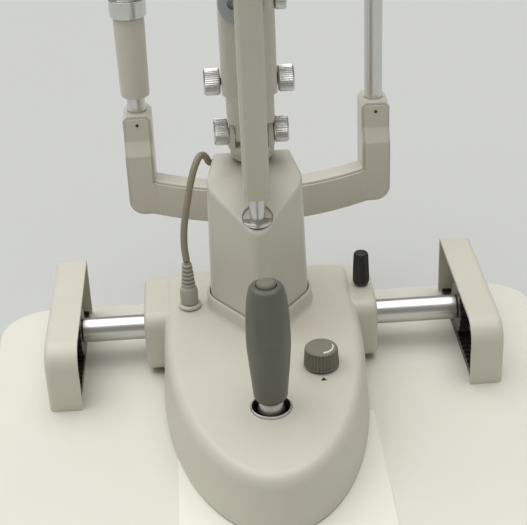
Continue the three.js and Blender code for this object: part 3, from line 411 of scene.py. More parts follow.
IVORY = (0.655, 0.63, 0.54)
MATERIALS = {
    "board_laminate": surface("laminate", (0.745, 0.738, 0.655), 0.38, mottle=0.012, mottle_scale=8,
                              grain=0.06, grain_scale=500, speck=0.05),
    "ivory_plastic": surface("moulded_ivory", IVORY, 0.42, mottle=0.015, grain=0.22, grain_scale=1300),
    "ivory_metal": surface("painted_ivory", (0.625, 0.6, 0.52), 0.36, mottle=0.012,
                           grain=0.08, grain_scale=420, coat=0.15),
    "white_plastic": surface("white_sheet", (0.86, 0.865, 0.76), 0.3, mottle=0.01, grain=0.04,
                             grain_scale=600),
    "black_plastic": surface("black_moulding", (0.018, 0.018, 0.017), 0.38, mottle=0.15, grain=0.2),
    "polished_steel": surface("ground_steel", (0.66, 0.66, 0.63), 0.3, metallic=1.0, mottle=0.03,
                              brushed=(3, 60, 60), grain_scale=120, grain=0.05),
    "knurled_steel": surface("plated_knurl", (0.66, 0.66, 0.64), 0.27, metallic=1.0, mottle=0.04, grain=0.08,
                             grain_scale=700),
    "dark_steel": surface("blackened_steel", (0.07, 0.07, 0.07), 0.35, metallic=0.8, mottle=0.1, grain=0.1),
    "grip_plastic": surface("soft_grip", (0.132, 0.138, 0.108), 0.4, mottle=0.03, grain=0.16,
                            grain_scale=1500),
    "taupe_plastic": surface("taupe_moulding", (0.225, 0.215, 0.165), 0.5, mottle=0.03, grain=0.16,
                             grain_scale=1500),
    "cable_sheath": surface("cable_sheath", (0.30, 0.265, 0.19), 0.5, mottle=0.04, grain=0.1),
    "blue_grey_metal": surface("anodised_dial", (0.40, 0.42, 0.41), 0.4, metallic=0.3, mottle=0.03,
                               grain=0.08),
    "band_rubber": surface("soft_rubber", (0.035, 0.035, 0.033), 0.65, mottle=0.1, grain=0.3,
                           grain_scale=1200),
    "bulb_glass": surface("clear_glass", (0.92, 0.93, 0.92), 0.05, alpha_glass=True, mottle=0.01),
    "blue_grey_plastic": surface("grey_connector", (0.42, 0.415, 0.36), 0.48, mottle=0.03, grain=0.15,
                                 grain_scale=1200),
}
PRINT = surface("printed_white", (0.8, 0.8, 0.76), 0.5, mottle=0.02)
DARK_PRINT = surface("printed_black", (0.02, 0.02, 0.02), 0.5, mottle=0.05)
LENS = surface("coated_lens", (0.05, 0.06, 0.09), 0.04, mottle=0.1, coat=0.6)


# ---- camera and cable ----------------------------------------------------------------------------------
def add_camera():
    """The photograph's viewing angle: turned a little to the right, looking down, with a small roll."""
    yaw, pitch, roll = (math.radians(v) for v in (2.19, 29.54, -2.52))
    forward = Vector((math.sin(yaw) * math.cos(pitch), math.cos(yaw) * math.cos(pitch), -math.sin(pitch)))
    level = Vector((math.cos(yaw), -math.sin(yaw), 0))
    rise = level.cross(forward)
    right = level * math.cos(roll) + rise * math.sin(roll)
    up = rise * math.cos(roll) - level * math.sin(roll)
    camera = bpy.data.objects.new("camera", bpy.data.cameras.new("camera"))
    bpy.context.scene.collection.objects.link(camera)
    camera.data.sensor_width = 36
    camera.data.lens = 90.55
    camera.data.clip_end = 50
    turn = Matrix((right, up, -forward)).transposed()
    camera.matrix_world = Matrix.Translation((-0.0424, -1.0084, 0.6846)) @ turn.to_4x4()
    bpy.context.scene.camera = camera


CABLE_DIAMETER = 0.006
CABLE_ROUTE = [  # metres, from the strain relief on the base up and over into the rear corner of the column
    (-0.0702, -0.0220, 0.1320),
    (-0.0712, -0.0205, 0.1450),
    (-0.0702, -0.0170, 0.1610),
    (-0.0667, -0.0120, 0.1790),
    (-0.0627, -0.0050, 0.1950),
    (-0.0582, 0.0030, 0.2070),
    (-0.0537, 0.0105, 0.2130),
    (-0.0502, 0.0165, 0.2115),
    (-0.0477, 0.0210, 0.2065),
    (-0.0457, 0.0236, 0.2015),
    (-0.0402, 0.0240, 0.1995),
]


def spline_through(points, per_span=8):
    """Centripetal Catmull-Rom curve through the points."""
    points = [Vector(p) for p in points]
    ends = [points[0] * 2 - points[1]] + points + [points[-1] * 2 - points[-2]]
    line = []
    for i in range(1, len(ends) - 2):
        p0, p1, p2, p3 = ends[i - 1:i + 3]
        t1 = max((p1 - p0).length, 1e-9) ** 0.5
        t2 = t1 + max((p2 - p1).length, 1e-9) ** 0.5
        t3 = t2 + max((p3 - p2).length, 1e-9) ** 0.5
        for k in range(per_span):
            t = t1 + (t2 - t1) * k / per_span
            a1 = p0 * ((t1 - t) / t1) + p1 * (t / t1)
            a2 = p1 * ((t2 - t) / (t2 - t1)) + p2 * ((t - t1) / (t2 - t1))
            a3 = p2 * ((t3 - t) / (t3 - t2)) + p3 * ((t - t2) / (t3 - t2))
            b1 = a1 * ((t2 - t) / t2) + a2 * (t / t2)
            b2 = a2 * ((t3 - t) / (t3 - t1)) + a3 * ((t - t1) / (t3 - t1))
            line.append(b1 * ((t2 - t) / (t2 - t1)) + b2 * ((t - t1) / (t2 - t1)))
    line.append(points[-1])
    return line


def tube_along(name, line, radius, sides=24):
    """A round tube whose rings turn as little as possible from one to the next."""
    tangents = [(line[min(i + 1, len(line) - 1)] - line[max(i - 1, 0)]).normalized()
                for i in range(len(line))]
    across = tangents[0].orthogonal().normalized()
    rings = []
    for point, tangent in zip(line, tangents):
        across = (across - tangent * across.dot(tangent)).normalized()
        other = tangent.cross(across)
        angles = [2 * math.pi * i / sides for i in range(sides)]
        rings.append([point + (across * math.cos(a) + other * math.sin(a)) * radius for a in angles])
    return loft(name, rings)


def lamp_cable():
    line = spline_through(CABLE_ROUTE)
    cable = tube_along("lamp_cable_fine", line, CABLE_DIAMETER / 2)
    dress(cable, "cable_sheath")
    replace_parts(cable, "lamp_cable")
    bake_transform(cable)


add_camera()
lamp_cable()


# ---- small repeated things -----------------------------------------------------------------------------
def screw(name, at, axis, node, origin, radius=2.2, lift=0.9):
    """Pan head with a cross slot, lying on a face whose outward normal is the axis (+Z or -Y)."""
    head = turned(name, [(AXIS, 0), (radius, 0), (radius, lift * 0.45), (radius * 0.8, lift * 0.8),
                         (radius * 0.4, lift), (AXIS, lift)], 32)
    slots = [block("slot", -radius * 0.6, radius * 0.6, -0.22, 0.22, lift * 0.4, lift * 2, 0.05),
             block("slot", -0.22, 0.22, -radius * 0.6, radius * 0.6, lift * 0.4, lift * 2, 0.05)]
    head = cut(head, *slots)
    if axis == "-y":
        head.data.transform(Matrix.Rotation(math.pi / 2, 4, "X"))
    if axis == "+y":
        head.data.transform(Matrix.Rotation(-math.pi / 2, 4, "X"))
    head.data.transform(Matrix.Translation(at))
    settle(head, origin, node, name=name, slot="dark_steel", stands_for=False)


# ---- table, plate and rails ----------------------------------------------------------------------------
def table():
    outline = rounded_rectangle(-250, 250, -300, 90, 45, 20)
    settle(prism("board", outline, "z", -25, 0, 2.5, 5), STAND, "table_board")
    plate = prism("plate", rounded_rectangle(-85, 79, -275, -109, 3, 4), "z", GAP, GAP + 1.2, 0.3)
    settle(plate, STAND, "slide_plate")
    for i, (x, y) in enumerate([(-78, -116), (72, -116), (-78, -268), (72, -268)]):
        screw(f"plate_screw_{i}", (x, y, GAP + 1.15), "+z", "slide_plate", STAND, 2.0, 0.7)


def cover_profile(push, floor):
    """Side view of a rail cover: a long bend towards the operator and a small one behind."""
    half, height, bend, rear = COVER["half"], COVER["height"], COVER["bend"], COVER["rear_bend"]
    return ([(-half + push, floor), (half - push, floor)]
            + arc(half - rear, height - rear, rear - min(push, rear - 1), 0, 90, 8)
            + arc(-half + bend, height - bend, bend - push, 90, 180, 20))


def rail_cover(side_name, side):
    inner, width, wall, roundness = COVER["inner"], COVER["width"], COVER["wall"], COVER["round"]
    rings = [[(side * inner, y, z) for y, z in cover_profile(0, GAP)]]
    for k in range(9):
        angle = math.pi / 2 * k / 8
        x = inner + width - roundness * (1 - math.sin(angle))
        push = roundness * 0.75 * (1 - math.cos(angle))
        rings.append([(side * x, y, z) for y, z in cover_profile(push, GAP)])
    hood = loft("hood", rings)
    hollow = loft("hollow", [[(side * x, y, z) for y, z in cover_profile(wall, -6)]
                             for x in (inner - 6, inner + width - wall)])
    node = "rail_cover_" + side_name
    settle(cut(hood, hollow), STAND, node, bevel=0.5)


def axle():
    shoulder, end, thin = COVER["inner"] + 6 - 4.5 - GAP, COVER["inner"] + 18, AXLE_RADIUS * 0.7
    half = [(shoulder - 0.8, AXLE_RADIUS), (shoulder, AXLE_RADIUS - 0.8), (shoulder, thin), (end - 0.5, thin),
            (end, thin - 0.5), (end, AXIS)]
    profile = [(r, -x) for x, r in reversed(half)] + [(r, x) for x, r in half]
    settle(turned("axle", profile, 128, axis="x", at=(0, 0, AXLE_HEIGHT)), STAND, "axle_shaft")


# ---- head rest -----------------------------------------------------------------------------------------
def yoke_sweep(name, start, end, front, back, margin=0.0, edge=1.2, steps=48):
    """The bowed lower arm of the head rest, between two places along X."""
    rings = []
    for i in range(steps + 1):
        x = start + (end - start) * i / steps
        run = (x / POST_X) ** 2
        y = YOKE["middle_y"] + (YOKE["end_y"] - YOKE["middle_y"]) * run
        bottom = YOKE["middle_bottom"] + (YOKE["bottom"] - YOKE["middle_bottom"]) * run
        outline = rounded_rectangle(y - front, y + back, bottom + margin, bottom
                                    + YOKE["height"] - margin, edge, 4)
        rings.append([(x, a, b) for a, b in outline])
    return loft(name, rings)


def upright_outline(side, margin, low_corner, lean):
    """Front view of one upright: chamfered top corners and a large outer corner at the bottom."""
    low, high = YOKE["bottom"] + margin, UPRIGHT["top"] - margin
    inner, outer = POST_X - UPRIGHT["width"] / 2 + margin, POST_X + UPRIGHT["width"] / 2 - margin
    right = ([(inner, low)] + arc(outer - low_corner, low + low_corner, low_corner, 270, 360, 10)
             + [(outer, high - lean), (outer - lean, high), (inner + lean, high), (inner, high - lean)])
    return [(side * x, z) for x, z in (right if side > 0 else reversed(right))]


def upright_side(forward, soft):
    """Side view of an upright, its front moved forwards: a foot, a sloping ledge and a set-back top."""
    up = forward / 3
    foot, front = UPRIGHT["foot"] - forward, UPRIGHT["front"] - forward
    corners = [(UPRIGHT["back"], 60), (UPRIGHT["back"], 200), (front, 200),
               (front, UPRIGHT["ledge_high"] + up), (foot, UPRIGHT["ledge_low"] + up), (foot, 60)]
    return prism("side", filleted(corners, soft, 5), "x", -POST_X - 30, POST_X + 30, 0)


def rest_yoke():
    arms = yoke_sweep("arms", -POST_X, POST_X, 10, 10, edge=1.6)
    blanks = [prism("blank", upright_outline(side, 0, 14, 4), "y", 90, UPRIGHT["back"], 2.0, 4)
              for side in SIDES.values()]
    uprights = [combine(blank, [upright_side(0, 1.6)], "INTERSECT") for blank in blanks]
    bores = [rod("bore", "z", POST_RADIUS + GAP, (side * POST_X, POST_Y), 124.7, 190, 64)
             for side in SIDES.values()]
    settle(cut(join(arms, *uprights), *bores), STAND, "rest_yoke", bevel=1.2)
    for name, side in SIDES.items():
        yoke_panel(name, side)


def yoke_panel(name, side):
    """Thin cover along an arm and up its upright, over the ledge, with a screw near the top."""
    arm_end = POST_X - UPRIGHT["width"] / 2
    thickness, margin = 1.6, 2.4
    middle_gap, screw_height = 20, 176
    near, far = sorted((side * middle_gap, side * (arm_end - 0.1)))
    arm = yoke_sweep("panel", near, far, 10 + thickness + GAP, -10 - GAP, margin, 0.5)
    low = YOKE["bottom"] + margin
    upper = [(arm_end + margin, low + 2)] + [(x, z) for x, z in arc(POST_X + 0.6, low + 10, 10, 270, 360, 8)]
    upper += [(POST_X + 10.6, 179.5), (POST_X + 8, 181.6), (POST_X - 8, 181.6), (POST_X - 10.6, 179.5)]
    lower = [(arm_end - 1, low), (arm_end + 8, low - 0.4), (arm_end + 8, low
                                                            + YOKE["height"] - 2 * margin - 1),
             (arm_end - 1, low + YOKE["height"] - 2 * margin - 1.6)]
    face = join(*[prism("face", [(side * x, z) for x, z in (outline if side > 0 else reversed(outline))],
                        "y", 80, 125, 0) for outline in (upper, lower)])
    layer = cut(upright_side(GAP + thickness, 1.2), upright_side(GAP, 1.2))
    settle(join(combine(face, [layer], "INTERSECT"), arm), STAND, "yoke_panel_" + name, bevel=0.35)
    screw(f"panel_screw_{name}", (side * POST_X, UPRIGHT["front"] - GAP - thickness, screw_height), "-y",
          "yoke_panel_" + name, STAND, 1.5, 0.7)


def rest_columns():
    for name, side in SIDES.items():
        profile = [(AXIS, 125), (POST_RADIUS, 125), (POST_RADIUS, 491.2), (POST_RADIUS - 0.8, 492),
                   (AXIS, 492)]
        settle(turned("post", profile, at=(side * POST_X, POST_Y, 0)), STAND, "post_" + name)
    bore = POST_RADIUS + GAP
    sleeve = filleted([(bore, 199), (12.8, 199), (13.2, 203), (14, 262), (14, 274), (bore, 274)], 0.8, 5)
    settle(turned("sleeve", sleeve, closed=True, at=(-POST_X, POST_Y, 0)), STAND, "chin_sleeve")
    ring = filleted([(bore, 275), (16.5, 275), (16.5, 291), (12, 291), (12, 297), (bore, 297)], 0.9, 5)
    grooves = turned("ring", ring, closed=True, ribs=(44, 0.6, 276.2, 289.9), at=(-POST_X, POST_Y, 0))
    settle(grooves, STAND, "height_ring")


def chin_rest():
    collars = []
    for side in SIDES.values():
        profile = filleted([(AXIS, CHIN_Z), (15, CHIN_Z), (15, CHIN_Z + 22), (AXIS, CHIN_Z + 22)], 1.5, 5,
                           False)
        collars.append(turned("collar", profile, at=(side * POST_X, POST_Y, 0)))
    bar = block("bar", -POST_X, POST_X, POST_Y - 6, POST_Y + 6, CHIN_Z, CHIN_Z + 12, 1.5)
    tongue = block("tongue", -14, 14, CHIN_Y, POST_Y, CHIN_Z, CHIN_Z + 8, 1.5)
    bores = [rod("bore", "z", POST_RADIUS + GAP, (side * POST_X, POST_Y), CHIN_Z - 5, CHIN_Z + 40)
             for side in SIDES.values()]
    settle(cut(join(bar, tongue, *collars), *bores), STAND, "chin_bar", bevel=0.5)
    radius = 30
    bowl = filleted([(AXIS, 0), (radius * 0.45, 0), (radius, 12), (radius, 17), (radius - 3, 17),
                     (radius * 0.5, 6), (AXIS, 5)], 2.5, 6, False)
    cup = turned("cup", bowl)
    place = Matrix.Translation((0, CHIN_Y, CHIN_Z + 8 + GAP))
    cup.data.transform(place @ Matrix.Diagonal((1.15, 0.85, 1, 1)))
    settle(cup, STAND, "chin_cup")


def forehead_rest():
    caps = []
    for side in SIDES.values():
        profile = filleted([(AXIS, FOREHEAD_Z - 32), (13, FOREHEAD_Z - 32), (13, FOREHEAD_Z + 22),
                            (AXIS, FOREHEAD_Z + 22)], 2, 6, False)
        caps.append(turned("cap", profile, at=(side * POST_X, POST_Y, 0)))
    rings = []
    for i in range(61):
        x = POST_X * (i / 30 - 1)
        lift = 1 - (x / POST_X) ** 2
        y, z = POST_Y - 4 + 0.3 * FOREHEAD_BOW * lift, FOREHEAD_Z + 4 + 12 * lift
        rings.append([(x, a, b) for a, b in rounded_rectangle(y - 6, y + 6, z - 9, z + 9, 2.5, 5)])
    bores = [rod("bore", "z", POST_RADIUS + GAP, (side * POST_X, POST_Y), 420, 492.3)
             for side in SIDES.values()]
    settle(cut(join(loft("arch", rings), *caps), *bores), STAND, "forehead_frame", bevel=0.6)
    end = POST_X - 13.5
    rings = []
    for i in range(61):
        x = end * (i / 30 - 1)
        y = POST_Y - FOREHEAD_BOW * (1 - (x / end) ** 2)
        rings.append([(x, a, b) for a, b in rounded_rectangle(y - 1.5, y + 1.5, FOREHEAD_Z - 30,
                                                              FOREHEAD_Z - 4, 1.2, 5)])
    settle(loft("band", rings), STAND, "forehead_band")


def fixation():
    x, y, z = POST_X, 148, 498.3
    hub = rod("hub", "z", 7, (x, y - 18), z, z + 12, edge=1)
    line = spline_through([(x, y - 20, z + 7), (x - 2, y - 50, z + 14), (x - 20, y - 76, z + 4),
                           (x - 42, y - 86, z - 14)], 16)
    settle(join(hub, tube_along("stem", line, 2.5)), STAND, "fixation_arm")
    lamp = turned("lamp", filleted([(AXIS, -9), (5, -9), (6, -4), (6, 6), (4, 9), (AXIS, 9)], 0.8, 4,
                                   False), 64, axis="y")
    neck = rod("neck", "x", 2, (0, 0), 3, 12.5, 32)
    joined = join(lamp, neck)
    joined.data.transform(Matrix.Translation((x - 57, y - 88, z - 17)))
    settle(joined, STAND, "fixation_lamp")


def pedestal():
    wide = prism("foot", rounded_rectangle(-38, 38, 90.3, 116, 5), "z", -25, 8, 1.2)
    neck = prism("neck", rounded_rectangle(-26, 26, 92.3, 115, 6), "z", 7, YOKE["middle_bottom"] - GAP, 0.6)
    settle(join(wide, neck), STAND, "rest_pedestal", bevel=0.8)
    for i, x in enumerate((-31, 31)):
        screw(f"pedestal_screw_{i}", (x, 116, -8), "+y", "rest_pedestal", STAND, 3.2, 1.6)


# ---- base ----------------------------------------------------------------------------------------------
def base_top(y):
    return BASE_TOP + BASE_SLOPE * y


def base_outline(push, steps=72):
    side = BASE["half"] - push
    corner = BASE["corner"] - push / 2
    nose = [(side * math.cos(a), BASE["straight"] + (BASE["nose"] - push) * math.sin(a))
            for a in (math.pi * (1 + i / steps) for i in range(steps + 1))]
    rear = BASE["rear"] - push - corner
    return nose + arc(side - corner, rear, corner, 0, 90, 10) + arc(corner - side, rear, corner, 90, 180, 10)


def base_body(push, bottom):
    rings = [[(x, y, bottom) for x, y in base_outline(push)]]
    for k in range(13):
        angle = math.pi / 2 * k / 12
        extra, drop = 3 + 10 * (1 - math.cos(angle)), 13 * (1 - math.sin(angle))
        rings.append([(x, y, base_top(y) - push - drop) for x, y in base_outline(push + extra)])
    return loft("body", rings)


def flange(side):
    """Block at the side of the base through which the axle runs, blended into the housing."""
    half, corner = FLANGE["half"], FLANGE["corner"]
    ends = [(76, 0), (half - 4, 0)] + [(half - 4 + 4 * math.sin(t), 4 * (1 - math.cos(t)))
                                       for t in (math.pi / 2 * k / 6 for k in range(1, 7))]
    rings = []
    for x, push in ends:
        outline = rounded_rectangle(FLANGE["front"] + push, BASE["rear"] - push, FLANGE["bottom"] + push,
                                    FLANGE["top"] - push, corner - push / 2, 10)
        rings.append([(side * x, y, z) for y, z in outline])
    return cut(loft("flange", rings), block("inside", -82, 82, -60, 60, -10, 12, 0.2))


def base_housing():
    shell = cut(base_body(0, BASE["bottom"]), base_body(BASE["wall"], BASE["bottom"] - 10))
    sleeves = [block("sleeve", *sorted((side * 60, side * 84)), -20, 20, AXLE_HEIGHT - 16, 58)
               for side in SIDES.values()]
    flanges = [flange(side) for side in SIDES.values()]
    opening = hull_outline(COLUMN_CIRCLES, 0.6, 96)
    tools = [
        loft("column_hole", [[(x, y, z) for x, y in opening] for z in (BASE["column_hole"], 90)]),
        rod("axle_bore", "x", AXLE_RADIUS + 4, (0, AXLE_HEIGHT), -130, 130, 64),
        rod("stick_hole", "z", BEZEL_HOLE + BEZEL_WALL + GAP, (0, JOYSTICK_Y), 20, 90, 64),
        rod("knob_hole", "z", 3.6, (KNOB_X, KNOB_Y), 30, 90, 32),
        rod("clamp_hole", "z", 3.6, (CLAMP_X, 0), AXLE_HEIGHT, 90, 32),
        rod("socket_hole", "z", 5.5, (SOCKET_X, SOCKET_Y), 30, 90, 32),
    ]
    settle(cut(join(shell, *flanges, *sleeves), *tools), CARRIAGE, "base_housing", bevel=0.7)


def column_collar():
    """Skirt round the foot of the column, with a soft upper rim and a flare into the base."""
    section = [(4.6, 0), (3.9, 0.4), (3.5, 1.2), (3.2, 2.6), (3.0, 4.5), (2.9, 10.8), (2.6, 12.1),
               (2.0, 12.8), (1.3, 13.0), (0.75, 12.7), (0.6, 12.2), (0.6, 0)]
    rings = [[(x, y, base_top(y) + GAP + lift) for x, y in hull_outline(COLUMN_CIRCLES, grow)]
             for grow, lift in section]
    settle(loft("collar", rings, closed=True), CARRIAGE, "column_collar")


def joystick():
    top = base_top(JOYSTICK_Y)
    rim = BEZEL_HOLE + BEZEL_WALL
    bezel = filleted([(BEZEL_HOLE, top - 6), (rim, top - 6), (rim, top + 1.6), (BEZEL_HOLE, top + 1.6)],
                     0.5, 5)
    settle(turned("bezel", bezel, closed=True, at=(0, JOYSTICK_Y, 0)), CARRIAGE, "joystick_bezel")
    stick = filleted([(AXIS, 7.5), (3, 8), (5.5, 11), (5.5, 14), (4, 17), (4, 24), (12, 28), (12, 36),
                      (7, 44), (11, 50), (11, 54), (8.6, 63), (4, 63), (4, 135), (AXIS, 135)], 2.0, 6,
                     False)
    pins = rod("pins", "y", 2.4, (0, 32), -19, 19, 32)
    shaft = join(turned("stick", stick), pins)
    shaft.data.transform(Matrix.Translation((0, JOYSTICK_Y, 0)))
    settle(shaft, CARRIAGE, "joystick_shaft")
    profile = filleted([(AXIS, 64), (11.5, 64), (13.2, 67), (15.4, 92), (17, 113), (17, 124), (16.4, 142),
                        (15, 156), (13.2, 163), (11, 165), (AXIS, 165)], 6, 8, False)
    profile = subdivided(profile, 1.5)
    grip = turned("grip", profile, 128)
    hollow_thumb(grip, 116, 158)
    bores = [rod("bore", "z", 4.4, (0, 0), 59, 136, 32), rod("well", "z", 8, (0, 0), 157, 172, 64)]
    grip = cut(grip, *bores)
    grip.data.transform(Matrix.Translation((0, JOYSTICK_Y, 0)))
    settle(grip, CARRIAGE, "joystick_grip", bevel=0.4)
    cap = filleted([(AXIS, 160.7), (7.3, 160.7), (7.3, 166.6), (5.8, 168.2), (AXIS, 168.9)], 1.4, 6, False)
    settle(turned("cap", cap, at=(0, JOYSTICK_Y, 0)), CARRIAGE, "joystick_button", slot="taupe_plastic")


def smooth(low, high, value):
    t = min(1, max(0, (value - low) / (high - low)))
    return t * t * (3 - 2 * t)


def hollow_thumb(grip, low, high):
    """Shallow hollow on the operator's side, with a crisp lower end and soft sides."""
    for vertex in grip.data.vertices:
        x, y, z = vertex.co
        radius = math.hypot(x, y)
        if y < 0 and radius > 9:
            depth = 1.5 * smooth(low, low + 3, z) * smooth(high, high - 22, z) * smooth(11, 4, abs(x))
            vertex.co.y += depth
            vertex.co.x *= 1 - 0.1 * depth / radius


def brightness_knob():
    bottom = base_top(KNOB_Y) + 1.6
    top = bottom + 16
    profile = filleted([(AXIS, 40), (3, 40), (3, bottom), (14.5, bottom), (14.4, bottom + 1.4),
                        (13.4, top - 1.4), (12.0, top), (AXIS, top)], 0.6, 5, False)
    knob = turned("knob", profile, ribs=(30, 1.5, bottom + 0.5, top - 1.2))
    knob.data.transform(Matrix.Translation((KNOB_X, KNOB_Y, 0)))
    settle(knob, CARRIAGE, "brightness_knob")
    growing_arc(top)
    mark = loft("mark", [[(x, y, z) for x, y in ((-2.4, -1.6), (2.4, -1.6), (0, 2.4))] for z in (0, 0.18)])
    y = KNOB_Y - 19.5
    mark.data.transform(Matrix.Translation((KNOB_X, y, base_top(y) + 0.05)))
    piece = settle(mark, CARRIAGE, "base_housing", name="knob_mark", slot="black_plastic", stands_for=False)
    piece.data.materials[0] = DARK_PRINT


def growing_arc(top):
    """Printed scale on the knob: an arc that widens."""
    outer, inner = [], []
    radius = 9.6
    for i in range(41):
        angle = math.radians(-84 + 100 * i / 40)
        half = 1.15 - 0.85 * i / 40
        outer.append(((radius + half) * math.cos(angle), (radius + half) * math.sin(angle)))
        inner.append(((radius - half) * math.cos(angle), (radius - half) * math.sin(angle)))
    outline = outer + inner[::-1]
    scale = loft("scale", [[(x, y, z) for x, y in outline] for z in (top + 0.02, top + 0.14)])
    scale.data.transform(Matrix.Translation((KNOB_X, KNOB_Y, 0)))
    piece = settle(scale, CARRIAGE, "brightness_knob", name="knob_scale", slot="taupe_plastic",
                   stands_for=False)
    piece.data.materials[0] = PRINT


def clamp_knob():
    bottom = BASE_TOP - 1.6
    profile = filleted([(AXIS, 45.2), (3, 45.2), (3, bottom), (6, bottom), (7.4, bottom + 3),
                        (7.3, bottom + 8), (6.9, bottom + 20), (6.5, bottom + 29), (5.4, bottom + 30.8),
                        (AXIS, bottom + 31)], 0.9, 5, False)
    knob = turned("knob", profile, ribs=(18, 0.8, bottom + 2.5, bottom + 29.4), at=(CLAMP_X, 0, 0))
    settle(knob, CARRIAGE, "clamp_knob")


def cable_plug():
    top = base_top(SOCKET_Y) + GAP
    flange_profile = filleted([(AXIS, -16), (5, -16), (5, 0.4), (10, 0.4), (10, 2.4), (8.5, 3.4),
                               (AXIS, 3.4)], 0.6, 5, False)
    socket = turned("socket", flange_profile, at=(SOCKET_X, SOCKET_Y, top))
    settle(socket, CARRIAGE, "cable_socket", slot="ivory_metal")
    profile = [(AXIS, 0), (7.4, 0), (7.8, 2), (7.8, 11), (7.1, 14.5), (5.2, 16.8)]
    ribs, pitch, groove = 6, 3.7, 2.0
    for rib in range(ribs):
        z, radius = 17.4 + rib * pitch, 6.0 - rib * 0.3
        profile += [(radius, z), (radius, z + 1.9), (radius - groove, z + 2.2), (radius - groove, z + 3.3)]
    profile += [(3.4, 39.6), (AXIS, 39.9)]
    bottom = base_top(SOCKET_Y) + 4.2
    plug = turned("plug", filleted(profile, 0.6, 4, False), at=(SOCKET_X, SOCKET_Y, bottom))
    settle(plug, CARRIAGE, "cable_plug")


# ---- column --------------------------------------------------------------------------------------------
def column_top(y):
    return (COLUMN_TOP - COLUMN_SLOPE * max(0, COLUMN_SLOPE_END - y)
            - COLUMN_REAR_SLOPE * max(0, y - COLUMN_REAR_END))


def column_body(grow, bottom, drop, rim):
    """Tapering leaf-shaped body under a sloping top whose rim is rounded."""
    def taper(z):
        return grow - COLUMN_TAPER * max(0, z - 60)

    rings = [[(x, y, bottom) for x, y in hull_outline(COLUMN_CIRCLES, taper(bottom))],
             [(x, y, 60) for x, y in hull_outline(COLUMN_CIRCLES, taper(60))]]
    base = hull_outline(COLUMN_CIRCLES, 0)
    for k in range(9):
        angle = math.pi / 2 * k / 8
        push, down = rim * (1 - math.cos(angle)), rim * (1 - math.sin(angle))
        ring = []
        for index, (_, y_plan) in enumerate(base):
            z = column_top(y_plan) - drop - down
            x, y = hull_outline_point(index, len(base), taper(z) - push)
            ring.append((x, y, column_top(y) - drop - down))
        rings.append(ring)
    count = len(rings[0])
    points = [p for ring in rings for p in ring]
    faces = [tuple(range(count))]
    for level in range(len(rings) - 1):
        for i in range(count):
            j = (i + 1) % count
            low, high = level * count, (level + 1) * count
            faces.append((low + i, low + j, high + j, high + i))
    last = len(points) - count
    for i in range(count // 2 - 1):
        faces.append((last + i, last + i + 1, last + count - 2 - i, last + count - 1 - i))
    return mesh_object("column", points, faces)


def hull_outline_point(index, count, grow):
    angle = 2 * math.pi * (index + 0.5) / count - math.pi / 2
    nx, ny = math.cos(angle), math.sin(angle)
    x, y, radius = max(COLUMN_CIRCLES, key=lambda c: c[0] * nx + c[1] * ny + c[2])
    return x + (radius + grow) * nx, y + (radius + grow) * ny


def on_slope(piece, y):
    tilt = Matrix.Rotation(math.atan(COLUMN_SLOPE), 4, "X")
    piece.data.transform(Matrix.Translation((0, y, column_top(y))) @ tilt)
    return piece


def column():
    outer = column_body(0, 25, 0, 2.6)
    inner = column_body(-4, 15, 6, 0.5)
    shell = cut(outer, inner)
    nut = block("nut", -18, 18, 14, 33, 84, 96, 0.5)
    boss = rod("boss", "z", 13, (0, SWING_Y), 150, 178, 64)
    tools = [
        block("axle_slot", -60, 60, -14, 14, 0, AXLE_HEIGHT + AXLE_RADIUS + 16.5, 0.5),
        rod("spindle_bore", "z", 5.6, (0, 26), 60, 130, 48),
        rod("post_bore", "z", 7.3, (0, SWING_Y), 140, 220, 64),
        on_slope(rod("disc_seat", "z", 12.8, (0, 0), -1.8, 5, 96), BAR_Y),
        rod("pin_hole", "z", 6.6, (0, BAR_Y), 156, 200, 64),
        rod("cable_hole", "x", 4.7, (CABLE_ENTRY_Y, CABLE_ENTRY_Z), -60, -10, 48),
    ]
    settle(cut(join(shell, nut, boss), *tools), CARRIAGE, "column_shell", bevel=0.5)
    disc = rod("disc", "z", 12.5, (0, BAR_Y + 0.6), 157.5, 160.4, 96, 0.6)
    pin = rod("pin", "z", 6.3, (0, BAR_Y), 157, 182.2, 96, 0.4)
    settle(join(disc, pin), CARRIAGE, "centre_stop", bevel=0.4)
    post = filleted([(AXIS, 152), (7, 152), (7, 203), (5.5, 204), (AXIS, 204)], 0.6, 4, False)
    settle(turned("post", post, at=(0, SWING_Y, 0)), CARRIAGE, "swing_post")


# ---- lamp side -----------------------------------------------------------------------------------------
def lamp_arm():
    hub = rod("hub", "z", 20, (0, SWING_Y), 195.4, 202, 96, 1.2)
    ears = []
    for side in SIDES.values():
        outline = arc(TOWER_Y, 213.4, 9, 0, 180, 20) + [(TOWER_Y - 9, 201), (TOWER_Y + 9, 201)]
        ears.append(prism("ear", outline, "x", *sorted((side * 13.8, side * 18.2)), 0.6))
    foot = block("foot", -18.2, 18.2, TOWER_Y - 9, TOWER_Y + 9, 195.4, 201.5, 0.8)
    bores = [rod("bore", "x", 3.3, (TOWER_Y, 213.4), -30, 30, 48), rod("bore", "z", 7.3, (0, SWING_Y),
        180, 210, 64)]
    settle(cut(join(hub, foot, *ears), *bores), CARRIAGE, "lamp_arm", bevel=0.5)


